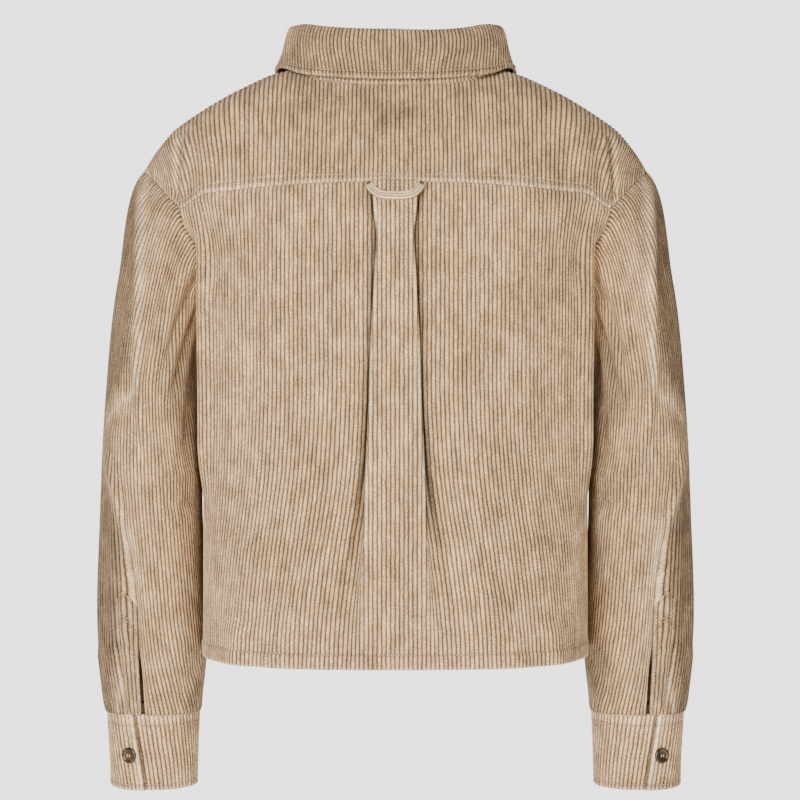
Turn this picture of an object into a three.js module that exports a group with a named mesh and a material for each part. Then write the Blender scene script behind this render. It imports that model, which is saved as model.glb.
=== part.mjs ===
// Cropped corduroy overshirt with a turned-down collar, a shoulder yoke, a box pleat at the centre
// of the back and buttoned cuffs, filled out as if it were worn. Millimetres.
// +Z is up, the front faces -Y and the wearer's left is +X. The origin is in the middle between
// the shoulders, where the wearer holds the garment up.

import * as THREE from 'three';

// Cloth and seams
const CLOTH = 1.6;
const DOUBLE_CLOTH = 2.4;
const SEAM_PULL = 0.32;
const SEAM_GAP = 0.3;
const ARMHOLE_GAP = 0.75;
const HEM_DEPTH = 13;
const HEM_RAISE = 0.9;

// Lengths along the cloth, measured from the centre line
const HALF_PANEL = 268;
const STRETCH_FROM = 200;
const YOKE_SEAM_END = 205.6;
const NECK_SIDE = 100;
const SHOULDER_TIP = 263;
const FRONT_SEAM_END = 250;
const OVERLAP = 16;
const LAP_RAISE = 3;

// Heights
const HEM_AT_SIDE = -531;
const HEM_DIP = 3;
const UPPER_BACK = -175;
const YOKE_SEAM = -107.3;
const CHEST_LINE = -150;

// Box pleat
const PLEAT_DEPTH = 11;
const LAYER_STEP = 2.6;
const SEAM_SQUEEZE = 0.8;

// Horizontal sections of the body, half a squared ellipse to the back and half to the front
const BODY = [
  { height: -540, halfWidth: 176, backDepth: 138, frontDepth: 128, squareness: 2.7 },
  { height: -450, halfWidth: 176, backDepth: 131, frontDepth: 124, squareness: 2.7 },
  { height: -380, halfWidth: 176, backDepth: 126, frontDepth: 122, squareness: 2.7 },
  { height: -305, halfWidth: 177, backDepth: 123, frontDepth: 124, squareness: 2.75 },
  { height: -240, halfWidth: 178, backDepth: 121, frontDepth: 122, squareness: 2.8 },
  { height: -175, halfWidth: 178, backDepth: 116, frontDepth: 115, squareness: 2.8 },
  { height: -150, halfWidth: 178, backDepth: 112, frontDepth: 110, squareness: 2.8 },
];

// The pleat down the back: half its band's width, and how much of the fold is left
const PLEAT = [
  { height: -540, edge: 31, strength: 0 },
  { height: -490, edge: 29, strength: 0.12 },
  { height: -430, edge: 27, strength: 0.45 },
  { height: -370, edge: 25, strength: 0.82 },
  { height: -300, edge: 22.5, strength: 1 },
  { height: -212, edge: 19, strength: 1 },
  { height: -156, edge: 15.8, strength: 1 },
  { height: -125, edge: 19, strength: 1 },
  { height: -107, edge: 21, strength: 1 },
];

// The yoke's lower edge behind: the seam to the back, then the armhole up to the shoulder tip
const YOKE_BACK_SEAM = [
  { along: 0, x: 0, y: 107, z: -107.3 },
  { along: 60, x: 60, y: 104, z: -108 },
  { along: 111, x: 110, y: 97, z: -110.5 },
  { along: 149, x: 147, y: 88, z: -113.5 },
  { along: 174, x: 170, y: 78.5, z: -115.5 },
  { along: 184.5, x: 178, y: 73, z: -119.5 },
  { along: 195.5, x: 186, y: 67.5, z: -124.5 },
  { along: 205.6, x: 193.5, y: 62, z: -127.5 },
  { along: 216, x: 201.5, y: 56, z: -130 },
];
const YOKE_BACK_ARMHOLE = [
  { along: 205.6, x: 193.5, y: 62, z: -127.5 },
  { along: 225, x: 205, y: 49, z: -116 },
  { along: 240, x: 215.5, y: 33, z: -104.5 },
  { along: 254, x: 226, y: 14, z: -94 },
  { along: 263, x: 232.6, y: 1, z: -88.5 },
];

// The neck seam behind, then the shoulder line out to its tip
const NECK_BACK = [
  { along: 0, x: 0, y: 62, z: -16.5 },
  { along: 40, x: 40, y: 57.5, z: -14.5 },
  { along: 70, x: 69, y: 43.5, z: -9 },
  { along: 90, x: 88, y: 25, z: -1 },
  { along: 100, x: 98, y: 6, z: 4.5 },
];
const SHOULDER_LINE = [
  { along: 100, x: 98, y: 6, z: 4.5 },
  { along: 125, x: 124, y: 5, z: -6 },
  { along: 148, x: 145, y: 4, z: -16.3 },
  { along: 173, x: 168, y: 2, z: -28.4 },
  { along: 200, x: 191, y: 0, z: -41.5 },
  { along: 217, x: 205, y: -2, z: -51 },
  { along: 233, x: 216, y: -3, z: -63 },
  { along: 250, x: 226.5, y: -4, z: -77 },
  { along: 263, x: 233, y: -5, z: -88 },
];

// The neck seam in front, then the yoke's front seam out to the armhole
const NECK_FRONT = [
  { along: -16, x: -16, y: -87, z: -80 },
  { along: 0, x: 0, y: -88, z: -81 },
  { along: 30, x: 29, y: -84, z: -75 },
  { along: 60, x: 58, y: -69, z: -56 },
  { along: 85, x: 83, y: -44, z: -28 },
  { along: 100, x: 98, y: -18, z: -5 },
];
const YOKE_FRONT_SEAM = [
  { along: 100, x: 98, y: -18, z: -5 },
  { along: 125, x: 124, y: -21, z: -15 },
  { along: 150, x: 147, y: -23, z: -26.5 },
  { along: 175, x: 169, y: -25, z: -39.5 },
  { along: 200, x: 190, y: -27, z: -54 },
  { along: 220, x: 207, y: -28, z: -68 },
  { along: 238, x: 220.5, y: -25, z: -83 },
  { along: 250, x: 229, y: -16, z: -92.5 },
  { along: 263, x: 232.4, y: -11, z: -89.5 },
];
const FRONT_ARMHOLE_UPPER = [
  { along: 216, x: 187, y: -55, z: -138 },
  { along: 229, x: 203, y: -48, z: -122 },
  { along: 240, x: 217, y: -37, z: -107 },
  { along: 250, x: 227, y: -22, z: -96 },
];

// The armholes below, as the height that each column of cloth reaches
const ARMHOLE_BACK = [
  { along: 205.6, height: -107.3 },
  { along: 207.2, height: -122 },
  { along: 210, height: -140 },
  { along: 214, height: -165 },
  { along: 221, height: -195 },
  { along: 231, height: -230 },
  { along: 243, height: -262 },
  { along: 256, height: -288 },
  { along: 268, height: -305 },
];
const ARMHOLE_FRONT = [
  { along: 205.6, height: -150 },
  { along: 209, height: -172 },
  { along: 216, height: -200 },
  { along: 226, height: -230 },
  { along: 239, height: -262 },
  { along: 254, height: -289 },
  { along: 268, height: -305 },
];

// The left sleeve's sections below the armhole. Each is tilted about the depth axis by rise for
// each millimetre of width, because a sleeve's outer side starts higher than its inner one.
const SLEEVE = [
  { part: 0.24, x: 218.5, y: 2, z: -262, halfWidth: 37.5, halfDepth: 67, rise: 1.85 },
  { part: 0.46, x: 224.5, y: -1, z: -342, halfWidth: 43, halfDepth: 67, rise: 0.95 },
  { part: 0.7, x: 227.5, y: -12, z: -432, halfWidth: 47, halfDepth: 61, rise: 0.45 },
  { part: 0.89, x: 229, y: -27, z: -525, halfWidth: 50, halfDepth: 50, rise: 0.2 },
  { part: 1, x: 229, y: -39, z: -592, halfWidth: 43.5, halfDepth: 40.5, rise: 0 },
];
const SLEEVE_SQUARENESS = 2.25;
const SLEEVE_STUB = 4.5;
// How the sleeve leaves the armhole: around is 0 at the shoulder tip and 1 under the arm
const SLEEVE_START = [
  { around: 0, out: 0.62, back: 0, down: 0.78, pull: 0.7 },
  { around: 0.3, out: 0.8, back: 0.12, down: 0.6, pull: 0.6 },
  { around: 0.6, out: 0.96, back: 0.1, down: 0.28, pull: 0.4 },
  { around: 0.85, out: 0.96, back: 0, down: 0.28, pull: 0.15 },
  { around: 1, out: 0.95, back: 0, down: 0.3, pull: 0.1 },
];

// Sleeve slit and its strip, around as on the sleeve and positive behind
const SLIT_AROUND = 0.46;
const SLIT_HALF_WIDTH = 0.016;
const SLIT_FROM = 0.89;
const STRIP_WIDTH = 19;
const STRIP_HALF_ROUND = 160;
const STRIP_FROM = 0.825;
const STRIP_POINT = 0.8;

// Cuffs
const CUFF_TOP = -592.3;
const CUFF_BOTTOM = -663;
const CUFF = { x: 229, y: -40, topHalfWidth: 42.6, bottomHalfWidth: 39.6, halfDepth: 39 };
const CUFF_EDGE = 0.43;
const CUFF_SLANT = 0.083;
const CUFF_LAP = 0.2;
const CUFF_LAYER_STEP = 1.9;
const CUFF_BUTTON = { share: 0.03, part: 0.46 };

// Collar: how far the stand rises and leans in, and where the fall's free edge lies.
// around is 0 at the centre of the back and 1 at the centre of the front.
const STAND = [
  { around: 0, rise: 45.5, lean: 10 },
  { around: 0.3, rise: 41, lean: 8 },
  { around: 0.45, rise: 34, lean: 5 },
  { around: 0.65, rise: 30, lean: 5 },
  { around: 1, rise: 29, lean: 7 },
];
const FALL_EDGE = [
  { around: 0, x: 0, y: 72.5, z: -12 },
  { around: 0.16, x: 42, y: 69.5, z: -10.5 },
  { around: 0.32, x: 84, y: 49, z: -4 },
  { around: 0.44, x: 107.5, y: 14, z: 6.5 },
  { around: 0.53, x: 112, y: -14, z: -1 },
  { around: 0.64, x: 108, y: -46, z: -27 },
  { around: 0.8, x: 92, y: -84, z: -66 },
  { around: 0.97, x: 64, y: -112, z: -104 },
];
const FALL_END = 0.97;

// Folds that are large enough to show in the outline, as ridges or troughs in the cloth.
// Each runs from one place to another, across and height being the panel's own two directions.
const BACK_FOLDS = [
  { fromAcross: 190, fromHeight: -112, toAcross: 193, toHeight: -390, width: 13, rise: 9 },
  { fromAcross: 40, fromHeight: -420, toAcross: 88, toHeight: -545, width: 15, rise: 4 },
  { fromAcross: 120, fromHeight: -500, toAcross: 126, toHeight: -560, width: 18, rise: 3 },
];
const YOKE_FOLDS = [
  { fromAcross: 214, fromHeight: 0.1, toAcross: 208, toHeight: 0.62, width: 9, rise: -5 },
  { fromAcross: 198, fromHeight: 0.15, toAcross: 194, toHeight: 0.6, width: 8, rise: 2.5 },
];

// Buttons
const BUTTON_RADIUS = 7.5;
const BUTTON_THICKNESS = 3;
const FRONT_BUTTON_HEIGHTS = [-118, -200, -282, -364, -446, -514];

const BACK = 1;
const FRONT = -1;
const SECTION_STEPS = 72;
const UP = new THREE.Vector3(0, 0, 1);

function ease(from, to, value) {
  const part = Math.min(Math.max((value - from) / (to - from), 0), 1);
  return part * part * (3 - 2 * part);
}

function mix(a, b, part) {
  return a + (b - a) * part;
}

// A smooth curve through every column of a table, read at any value of its key column
function readTable(rows, key) {
  const names = Object.keys(rows[0]).filter((name) => name !== key);
  const keys = rows.map((row) => row[key]);
  const last = rows.length - 1;
  const slope = (name, index) => {
    const before = Math.max(index - 1, 0);
    const after = Math.min(index + 1, last);
    return (rows[after][name] - rows[before][name]) / (keys[after] - keys[before]);
  };
  return (value) => {
    let index = 0;
    while (index < last - 1 && value > keys[index + 1]) index += 1;
    const span = keys[index + 1] - keys[index];
    const part = Math.min(Math.max((value - keys[index]) / span, 0), 1);
    const result = {};
    for (const name of names) {
      const start = rows[index][name];
      const end = rows[index + 1][name];
      const startPull = slope(name, index) * span;
      const endPull = slope(name, index + 1) * span;
      const bend = 2 * (start - end) + startPull + endPull;
      const sag = -3 * (start - end) - 2 * startPull - endPull;
      result[name] = ((bend * part + sag) * part + startPull) * part + start;
    }
    return result;
  };
}

const toPoint = ({ x, y, z }) => new THREE.Vector3(x, y, z);

const bodyAt = readTable(BODY, 'height');
const pleatAt = readTable(PLEAT, 'height');
const yokeBackSeamAt = readTable(YOKE_BACK_SEAM, 'along');
const yokeBackArmholeAt = readTable(YOKE_BACK_ARMHOLE, 'along');
const neckBackAt = readTable(NECK_BACK, 'along');
const shoulderLineAt = readTable(SHOULDER_LINE, 'along');
const neckFrontAt = readTable(NECK_FRONT, 'along');
const yokeFrontSeamAt = readTable(YOKE_FRONT_SEAM, 'along');
const armholeBackAt = readTable(ARMHOLE_BACK, 'along');
const armholeFrontAt = readTable(ARMHOLE_FRONT, 'along');
const sleeveStartAt = readTable(SLEEVE_START, 'around');
const standAt = readTable(STAND, 'around');
const fallEdgeAt = readTable(FALL_EDGE, 'around');

// A cubic arch from one point to another with the given pull at each end
function arch(start, startPull, end, endPull, part) {
  const bend = start.clone().sub(end).multiplyScalar(2).add(startPull).add(endPull);
  const sag = end.clone().sub(start).multiplyScalar(3).addScaledVector(startPull, -2).sub(endPull);
  return bend.multiplyScalar(part).add(sag).multiplyScalar(part).add(startPull)
    .multiplyScalar(part).add(start);
}

// A quarter of the body's section, from the centre line to the side seam, with its running length
const sectionStore = new Map();
function bodySection(side, height) {
  const name = `${side} ${height.toFixed(3)}`;
  if (sectionStore.has(name)) return sectionStore.get(name);
  const { halfWidth, backDepth, frontDepth, squareness } = bodyAt(height);
  const depth = side === BACK ? backDepth : frontDepth;
  const points = [];
  const lengths = [0];
  for (let step = 0; step <= SECTION_STEPS; step += 1) {
    const angle = (step / SECTION_STEPS) * Math.PI / 2;
    const deep = Math.abs(Math.cos(angle) / depth) ** squareness;
    const wide = Math.abs(Math.sin(angle) / halfWidth) ** squareness;
    const radius = (deep + wide) ** (-1 / squareness);
    points.push(new THREE.Vector2(radius * Math.sin(angle), radius * Math.cos(angle)));
    if (step > 0) lengths.push(lengths[step - 1] + points[step].distanceTo(points[step - 1]));
  }
  sectionStore.set(name, { points, lengths });
  return { points, lengths };
}

// A point of the body at a length along the cloth. Past STRETCH_FROM the cloth eases to fit.
function sectionPoint(side, along, end, height) {
  const { points, lengths } = bodySection(side, height);
  const total = lengths[SECTION_STEPS];
  const distance = Math.abs(along);
  let place = distance;
  if (distance > STRETCH_FROM) {
    place = mix(STRETCH_FROM, total, (distance - STRETCH_FROM) / (end - STRETCH_FROM));
  }
  let index = 0;
  while (index < SECTION_STEPS - 1 && lengths[index + 1] < place) index += 1;
  const part = (place - lengths[index]) / (lengths[index + 1] - lengths[index]);
  const flat = points[index].clone().lerp(points[index + 1], Math.min(part, 1));
  return new THREE.Vector3(Math.sign(along) * flat.x, side * flat.y, height);
}

// Where the sum of a table of folds lifts or sinks the cloth
function foldRise(folds, across, height, heightScale) {
  let rise = 0;
  for (const fold of folds) {
    const runAcross = fold.toAcross - fold.fromAcross;
    const runHeight = (fold.toHeight - fold.fromHeight) * heightScale;
    const fromStart = (height - fold.fromHeight) * heightScale;
    const length = Math.hypot(runAcross, runHeight);
    const part = ((across - fold.fromAcross) * runAcross + fromStart * runHeight) / length ** 2;
    const off = ((across - fold.fromAcross) * runHeight - fromStart * runAcross) / length;
    const taper = ease(-0.15, 0.12, part) * (1 - ease(0.8, 1.1, part));
    rise += fold.rise * taper * Math.exp(-((off / fold.width) ** 2));
  }
  return rise;
}

// The box pleat's path across the cloth: two folds on each side of the raised band
function pleatPath(across, height) {
  const { edge, strength } = pleatAt(height);
  const radius = LAYER_STEP / 2;
  const flat = edge - radius;
  const arc = Math.PI * radius;
  const run = PLEAT_DEPTH - arc;
  let along = across;
  let out = 4 * radius;
  if (across >= flat + 2 * arc + run) {
    along = across - 2 * PLEAT_DEPTH;
    out = 0;
  } else if (across >= flat + arc + run) {
    const angle = (across - flat - arc - run) / radius;
    along = flat - run - radius * Math.sin(angle);
    out = radius + radius * Math.cos(angle);
  } else if (across >= flat + arc) {
    along = flat - (across - flat - arc);
    out = 2 * radius;
  } else if (across >= flat) {
    const angle = (across - flat) / radius;
    along = flat + radius * Math.sin(angle);
    out = 3 * radius + radius * Math.cos(angle);
  }
  const place = mix(across, along, strength);
  const sink = ease(YOKE_SEAM - 8, YOKE_SEAM - 60, height) * strength;
  const dip = LAYER_STEP * sink * (1 - ease(edge + 4, edge + 45, place));
  const squeeze = mix(1, SEAM_SQUEEZE, ease(-130, YOKE_SEAM, height));
  return { along: place, out: out * squeeze * (1 - (1 - strength) ** 2) - dip };
}

// The back without its pleat, up to the yoke seam
function backShell(along, end, height) {
  if (height <= UPPER_BACK) return sectionPoint(BACK, along, end, height);
  const span = YOKE_SEAM - UPPER_BACK;
  const start = sectionPoint(BACK, along, end, UPPER_BACK);
  const below = sectionPoint(BACK, along, end, UPPER_BACK - 2);
  const startPull = start.clone().sub(below).multiplyScalar(span / 2);
  const seam = toPoint(yokeBackSeamAt(Math.abs(along)));
  const endPull = new THREE.Vector3(0.1 * ease(150, 205, Math.abs(along)), -0.34, 0.94);
  endPull.multiplyScalar(seam.distanceTo(start.clone().setX(Math.abs(start.x))));
  if (along < 0) {
    seam.x *= -1;
    endPull.x *= -1;
  }
  return arch(start, startPull, seam, endPull, (height - UPPER_BACK) / span);
}

// Moves a point of a surface out along the surface's normal
function raised(surface, a, b, stepA, stepB, distance) {
  const point = surface(a, b);
  const acrossWay = surface(a + stepA, b).sub(surface(a - stepA, b));
  const upWay = surface(a, b + stepB).sub(surface(a, b - stepB));
  return point.addScaledVector(upWay.cross(acrossWay).normalize(), distance);
}

function backPoint(across, height) {
  const path = pleatPath(Math.abs(across), height);
  const end = HALF_PANEL + 2 * PLEAT_DEPTH * (1 - pleatAt(height).strength);
  const along = Math.sign(across) * path.along;
  const shell = (a, h) => backShell(a, end, h);
  const top = Math.min(height, YOKE_SEAM - 1);
  const fade = 1 - ease(UPPER_BACK, YOKE_SEAM, height) * 0.8;
  const folds = foldRise(BACK_FOLDS, Math.abs(across) - 2 * PLEAT_DEPTH, height, 1) * fade;
  const lifted = raised(shell, along, top, 1, 1, path.out + folds);
  return lifted.add(shell(along, height)).sub(shell(along, top));
}

// The yoke from its lower edge behind, 0, to the neck or shoulder line, 1, and on to its front, 2
function yokeEdge(along) {
  if (along <= YOKE_SEAM_END) return toPoint(yokeBackSeamAt(along));
  return toPoint(yokeBackArmholeAt(along));
}

function yokeShell(signedAlong, part) {
  const along = Math.abs(signedAlong);
  const start = yokeEdge(along);
  const top = toPoint(along <= NECK_SIDE ? neckBackAt(along) : shoulderLineAt(along));
  const run = top.clone().sub(start);
  const reach = run.length();
  const lift = mix(0.34, 0.85, ease(60, 120, along)) * reach;
  const point = new THREE.Vector3();
  const overTop = run.clone().addScaledVector(UP, -lift).setLength(1);
  if (part <= 1) {
    const startPull = run.clone().addScaledVector(UP, lift).setLength(1.2 * reach);
    point.copy(arch(start, startPull, top, overTop.clone().setLength(1.2 * reach), part));
  } else {
    const end = toPoint(yokeFrontSeamAt(along));
    const drop = end.distanceTo(top);
    const endPull = new THREE.Vector3(0.05, -0.8, -0.6).setLength(drop);
    point.copy(arch(top, overTop.clone().setLength(drop), end, endPull, part - 1));
  }
  if (signedAlong < 0) point.x *= -1;
  return point;
}

function yokePoint(along, part) {
  const distance = foldRise(YOKE_FOLDS, Math.abs(along), part, 120);
  if (Math.abs(distance) < 0.01) return yokeShell(along, part);
  const place = Math.min(Math.max(part, 0.01), 0.99);
  const lifted = raised(yokeShell, along, place, 0.5, 0.005, distance);
  return lifted.add(yokeShell(along, part)).sub(yokeShell(along, place));
}

// The fronts: sections below the chest line, arches to the neck and the front yoke seam above it
function frontStart(along) {
  if (along <= YOKE_SEAM_END) return sectionPoint(FRONT, along, HALF_PANEL, CHEST_LINE);
  const first = { along: YOKE_SEAM_END, ...sectionPoint(FRONT, YOKE_SEAM_END, HALF_PANEL, CHEST_LINE) };
  return toPoint(readTable([first, ...FRONT_ARMHOLE_UPPER], 'along')(along));
}

function frontTop(along) {
  return toPoint(along <= NECK_SIDE ? neckFrontAt(along) : yokeFrontSeamAt(along));
}

function frontUpper(along, part) {
  const start = frontStart(along);
  const end = frontTop(along);
  const reach = end.distanceTo(start);
  const outward = ease(YOKE_SEAM_END - 30, FRONT_SEAM_END, along);
  const startPull = new THREE.Vector3(0.25 * outward, 0.1, 1).setLength(reach);
  const backward = mix(0.35, 0.9, ease(30, 120, along));
  const endPull = new THREE.Vector3(0, backward, 0.6).setLength(reach);
  return arch(start, startPull, end, endPull, part);
}

function frontLower(along, height) {
  return sectionPoint(FRONT, along, HALF_PANEL, height);
}

function hemHeight(along) {
  return HEM_AT_SIDE - HEM_DIP * (1 - (along / (HALF_PANEL + 2 * PLEAT_DEPTH)) ** 2);
}

// A sheet is a set of points joined by four-sided faces, welded where patches meet.
// A point's raise is how much thicker the cloth is there on its outside.
class Sheet {
  constructor() {
    this.points = [];
    this.raises = [];
    this.faces = [];
    this.known = new Map();
  }

  addPoint(point, raise = 0) {
    const name = [point.x, point.y, point.z].map((value) => Math.round(value * 1000)).join(' ');
    if (!this.known.has(name)) {
      this.known.set(name, this.points.length);
      this.points.push(point.clone());
      this.raises.push(raise);
    }
    return this.known.get(name);
  }

  // columns is a list of columns of points, each from its lower end up
  addGrid(columns, options = {}) {
    const { flip = false, skip = () => false, raiseAt = () => 0 } = options;
    const ids = columns.map((column, c) => column.map((point, r) => this.addPoint(point, raiseAt(c, r))));
    for (let c = 0; c + 1 < columns.length; c += 1) {
      for (let r = 0; r + 1 < columns[c].length; r += 1) {
        if (skip(c, r)) continue;
        const face = [ids[c][r], ids[c + 1][r], ids[c + 1][r + 1], ids[c][r + 1]];
        this.faces.push(flip ? face.reverse() : face);
      }
    }
    return this;
  }

  mirrored() {
    const copy = new Sheet();
    this.points.forEach((point, index) => {
      copy.points.push(new THREE.Vector3(-point.x, point.y, point.z));
      copy.raises.push(this.raises[index]);
    });
    copy.faces = this.faces.map(([a, b, c, d]) => [a, d, c, b]);
    return copy;
  }

  normals() {
    const sums = this.points.map(() => new THREE.Vector3());
    for (const face of this.faces) {
      const [a, b, c, d] = face.map((index) => this.points[index]);
      const way = c.clone().sub(a).cross(d.clone().sub(b));
      face.forEach((index) => sums[index].add(way));
    }
    return sums.map((sum) => sum.normalize());
  }

  // The cloth itself: an outer and an inner wall, closed along every free edge
  toGeometry(thickness) {
    const normals = this.normals();
    const count = this.points.length;
    const outer = this.points.map((point, index) => (
      point.clone().addScaledVector(normals[index], thickness / 2 + this.raises[index])));
    const inner = this.points.map((point, index) => (
      point.clone().addScaledVector(normals[index], -thickness / 2)));
    const positions = [...outer, ...inner].flatMap((point) => [point.x, point.y, point.z]);
    const triangles = [];
    const edges = new Map();
    const addFace = (a, b, c, d) => triangles.push(a, b, c, a, c, d);
    for (const [a, b, c, d] of this.faces) {
      addFace(a, b, c, d);
      addFace(d + count, c + count, b + count, a + count);
      for (const [from, to] of [[a, b], [b, c], [c, d], [d, a]]) edges.set(`${from} ${to}`, [from, to]);
    }
    for (const [from, to] of edges.values()) {
      if (!edges.has(`${to} ${from}`)) addFace(to, from, from + count, to + count);
    }
    const geometry = new THREE.BufferGeometry();
    geometry.setAttribute('position', new THREE.Float32BufferAttribute(positions, 3));
    geometry.setIndex(triangles);
    return geometry;
  }
}

const spread = (count) => Array.from({ length: count + 1 }, (unused, index) => index / count);

// Draws both ends of a column of points back from the seam lines by the given distances
function pulledBack(column, lowEnd, highEnd) {
  const result = column.map((point) => point.clone());
  const last = column.length - 1;
  const low = column[1].clone().sub(column[0]).setLength(lowEnd);
  const high = column[last - 1].clone().sub(column[last]).setLength(highEnd);
  result[0].add(low);
  result[last].add(high);
  return result;
}

// Columns of cloth that the back, the yoke and the fronts share at their seams
const SEAM_COLUMNS = [38, 58, 78, 100, 125, 150, 170, 184, 195, YOKE_SEAM_END];
const TIP_COLUMNS = [217, 229, 240, FRONT_SEAM_END, 257, SHOULDER_TIP];
const LOWER_COLUMNS = [208, 211, 217, 226, 238, 253, HALF_PANEL];
const PLEAT_PLACES = [0, 0.5];

function mirroredList(values) {
  return [...values.filter((value) => value > 0).map((value) => -value).reverse(), ...values];
}

// Back panel

// The pleat's own columns follow its folds, which roll in and out as they go down
function pleatColumn(number, height) {
  const { edge } = pleatAt(height);
  const flat = edge - LAYER_STEP / 2;
  const arc = Math.PI * LAYER_STEP / 2;
  const run = PLEAT_DEPTH - arc;
  const stops = [
    flat,
    flat + arc / 2,
    flat + arc,
    flat + arc + run,
    flat + arc * 1.5 + run,
    flat + arc * 2 + run,
  ];
  if (number < PLEAT_PLACES.length) return PLEAT_PLACES[number] * flat;
  return stops[number - PLEAT_PLACES.length];
}

const PLEAT_COLUMN_COUNT = PLEAT_PLACES.length + 6;
const HEM_ROW = [0, 0.001];
const BACK_ROWS = [...HEM_ROW, 0.1, 0.2, 0.3, 0.4, 0.5, 0.6, 0.7, 0.79, 0.87, 0.93, 1];

// Row heights of a column from the hem to its top, with two rows at the hem's stitching
function rowHeight(part, hem, top) {
  const stitching = hem + HEM_DEPTH;
  if (part === HEM_ROW[0]) return hem;
  if (part === HEM_ROW[1]) return stitching;
  return mix(stitching, top, part);
}

function makeBackPanel() {
  const sheet = new Sheet();
  const numbers = mirroredList(Array.from({ length: PLEAT_COLUMN_COUNT }, (unused, index) => index));
  const outerAcross = [...SEAM_COLUMNS, ...LOWER_COLUMNS].map((along) => along + 2 * PLEAT_DEPTH);
  const pleatColumns = numbers.map((number) => (height) => (
    Math.sign(number) * pleatColumn(Math.abs(number), height)));
  const leftColumns = outerAcross.map((across) => () => across);
  const rightColumns = [...outerAcross].reverse().map((across) => () => -across);
  const columns = [...rightColumns, ...pleatColumns, ...leftColumns].map((acrossAt) => {
    const along = Math.abs(acrossAt(YOKE_SEAM)) - 2 * PLEAT_DEPTH;
    const hem = hemHeight(along);
    const top = along > YOKE_SEAM_END ? armholeBackAt(along).height : YOKE_SEAM;
    const column = BACK_ROWS.map((part) => {
      const height = rowHeight(part, hem, top);
      return backPoint(acrossAt(height), height);
    });
    return pulledBack(column, 0, SEAM_PULL);
  });
  const ends = [columns[0], columns[columns.length - 1]];
  ends[0].forEach((point, row) => point.lerp(columns[1][row], sideShift(point, columns[1][row])));
  const inside = columns[columns.length - 2];
  ends[1].forEach((point, row) => point.lerp(inside[row], sideShift(point, inside[row])));
  return sheet.addGrid(columns, { flip: true, raiseAt: (c, r) => (r < 2 ? HEM_RAISE : 0) });
}

// The share of the way to its neighbour that draws a side edge back from the side seam
function sideShift(point, neighbour) {
  return SEAM_PULL / point.distanceTo(neighbour);
}

// Yoke

const YOKE_COLUMNS = [0, 19, ...SEAM_COLUMNS, ...TIP_COLUMNS];
const YOKE_BACK_PARTS = [0, 0.12, 0.28, 0.46, 0.64, 0.82, 1];
const YOKE_FRONT_PARTS = [1, 1.5, 2];

function makeYoke() {
  const sheet = new Sheet();
  const behind = mirroredList(YOKE_COLUMNS).map((along) => {
    const column = YOKE_BACK_PARTS.map((part) => yokePoint(along, part));
    return pulledBack(column, SEAM_PULL, Math.abs(along) < NECK_SIDE ? SEAM_PULL : 0);
  });
  sheet.addGrid(behind, { flip: true });
  const shoulder = YOKE_COLUMNS.filter((along) => along >= NECK_SIDE);
  for (const side of [1, -1]) {
    const before = shoulder.map((along) => {
      const column = YOKE_FRONT_PARTS.map((part) => yokePoint(side * along, part));
      return pulledBack(column, 0, SEAM_PULL);
    });
    sheet.addGrid(side > 0 ? before : before.reverse(), { flip: true });
  }
  return sheet;
}

// Fronts

const CENTRE_COLUMNS = [-OVERLAP, 0, 16, 38, 58, 78, NECK_SIDE];
const FRONT_LOWER_PARTS = [...HEM_ROW, 0.12, 0.25, 0.38, 0.51, 0.64, 0.76, 0.88, 1];
const FRONT_UPPER_PARTS = [0, 0.25, 0.5, 0.75, 1];

// The left front. lap moves its centre out, which the right front needs to lie over it.
function makeFront(lap) {
  const sheet = new Sheet();
  const shared = [...CENTRE_COLUMNS, ...SEAM_COLUMNS.filter((along) => along > NECK_SIDE)];
  const lapped = (point, along) => point.add(new THREE.Vector3(0, -lap * (1 - ease(16, 58, along)), 0));
  const lower = [...shared, ...LOWER_COLUMNS].map((along) => {
    const top = along > YOKE_SEAM_END ? armholeFrontAt(along).height : CHEST_LINE;
    const hem = hemHeight(along);
    const column = FRONT_LOWER_PARTS.map((part) => (
      lapped(frontLower(along, rowHeight(part, hem, top)), along)));
    return pulledBack(column, 0, along > YOKE_SEAM_END ? SEAM_PULL : 0);
  });
  const side = lower[lower.length - 1];
  const inside = lower[lower.length - 2];
  side.forEach((point, row) => point.lerp(inside[row], sideShift(point, inside[row])));
  sheet.addGrid(lower, { raiseAt: (c, r) => (r < 2 ? HEM_RAISE : 0) });
  const tips = TIP_COLUMNS.filter((along) => along <= FRONT_SEAM_END);
  const upper = [...shared, ...tips].map((along) => {
    const column = FRONT_UPPER_PARTS.map((part) => lapped(frontUpper(along, part), along));
    return pulledBack(column, along > YOKE_SEAM_END ? SEAM_PULL : 0, SEAM_PULL);
  });
  sheet.addGrid(upper);
  return sheet;
}

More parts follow.
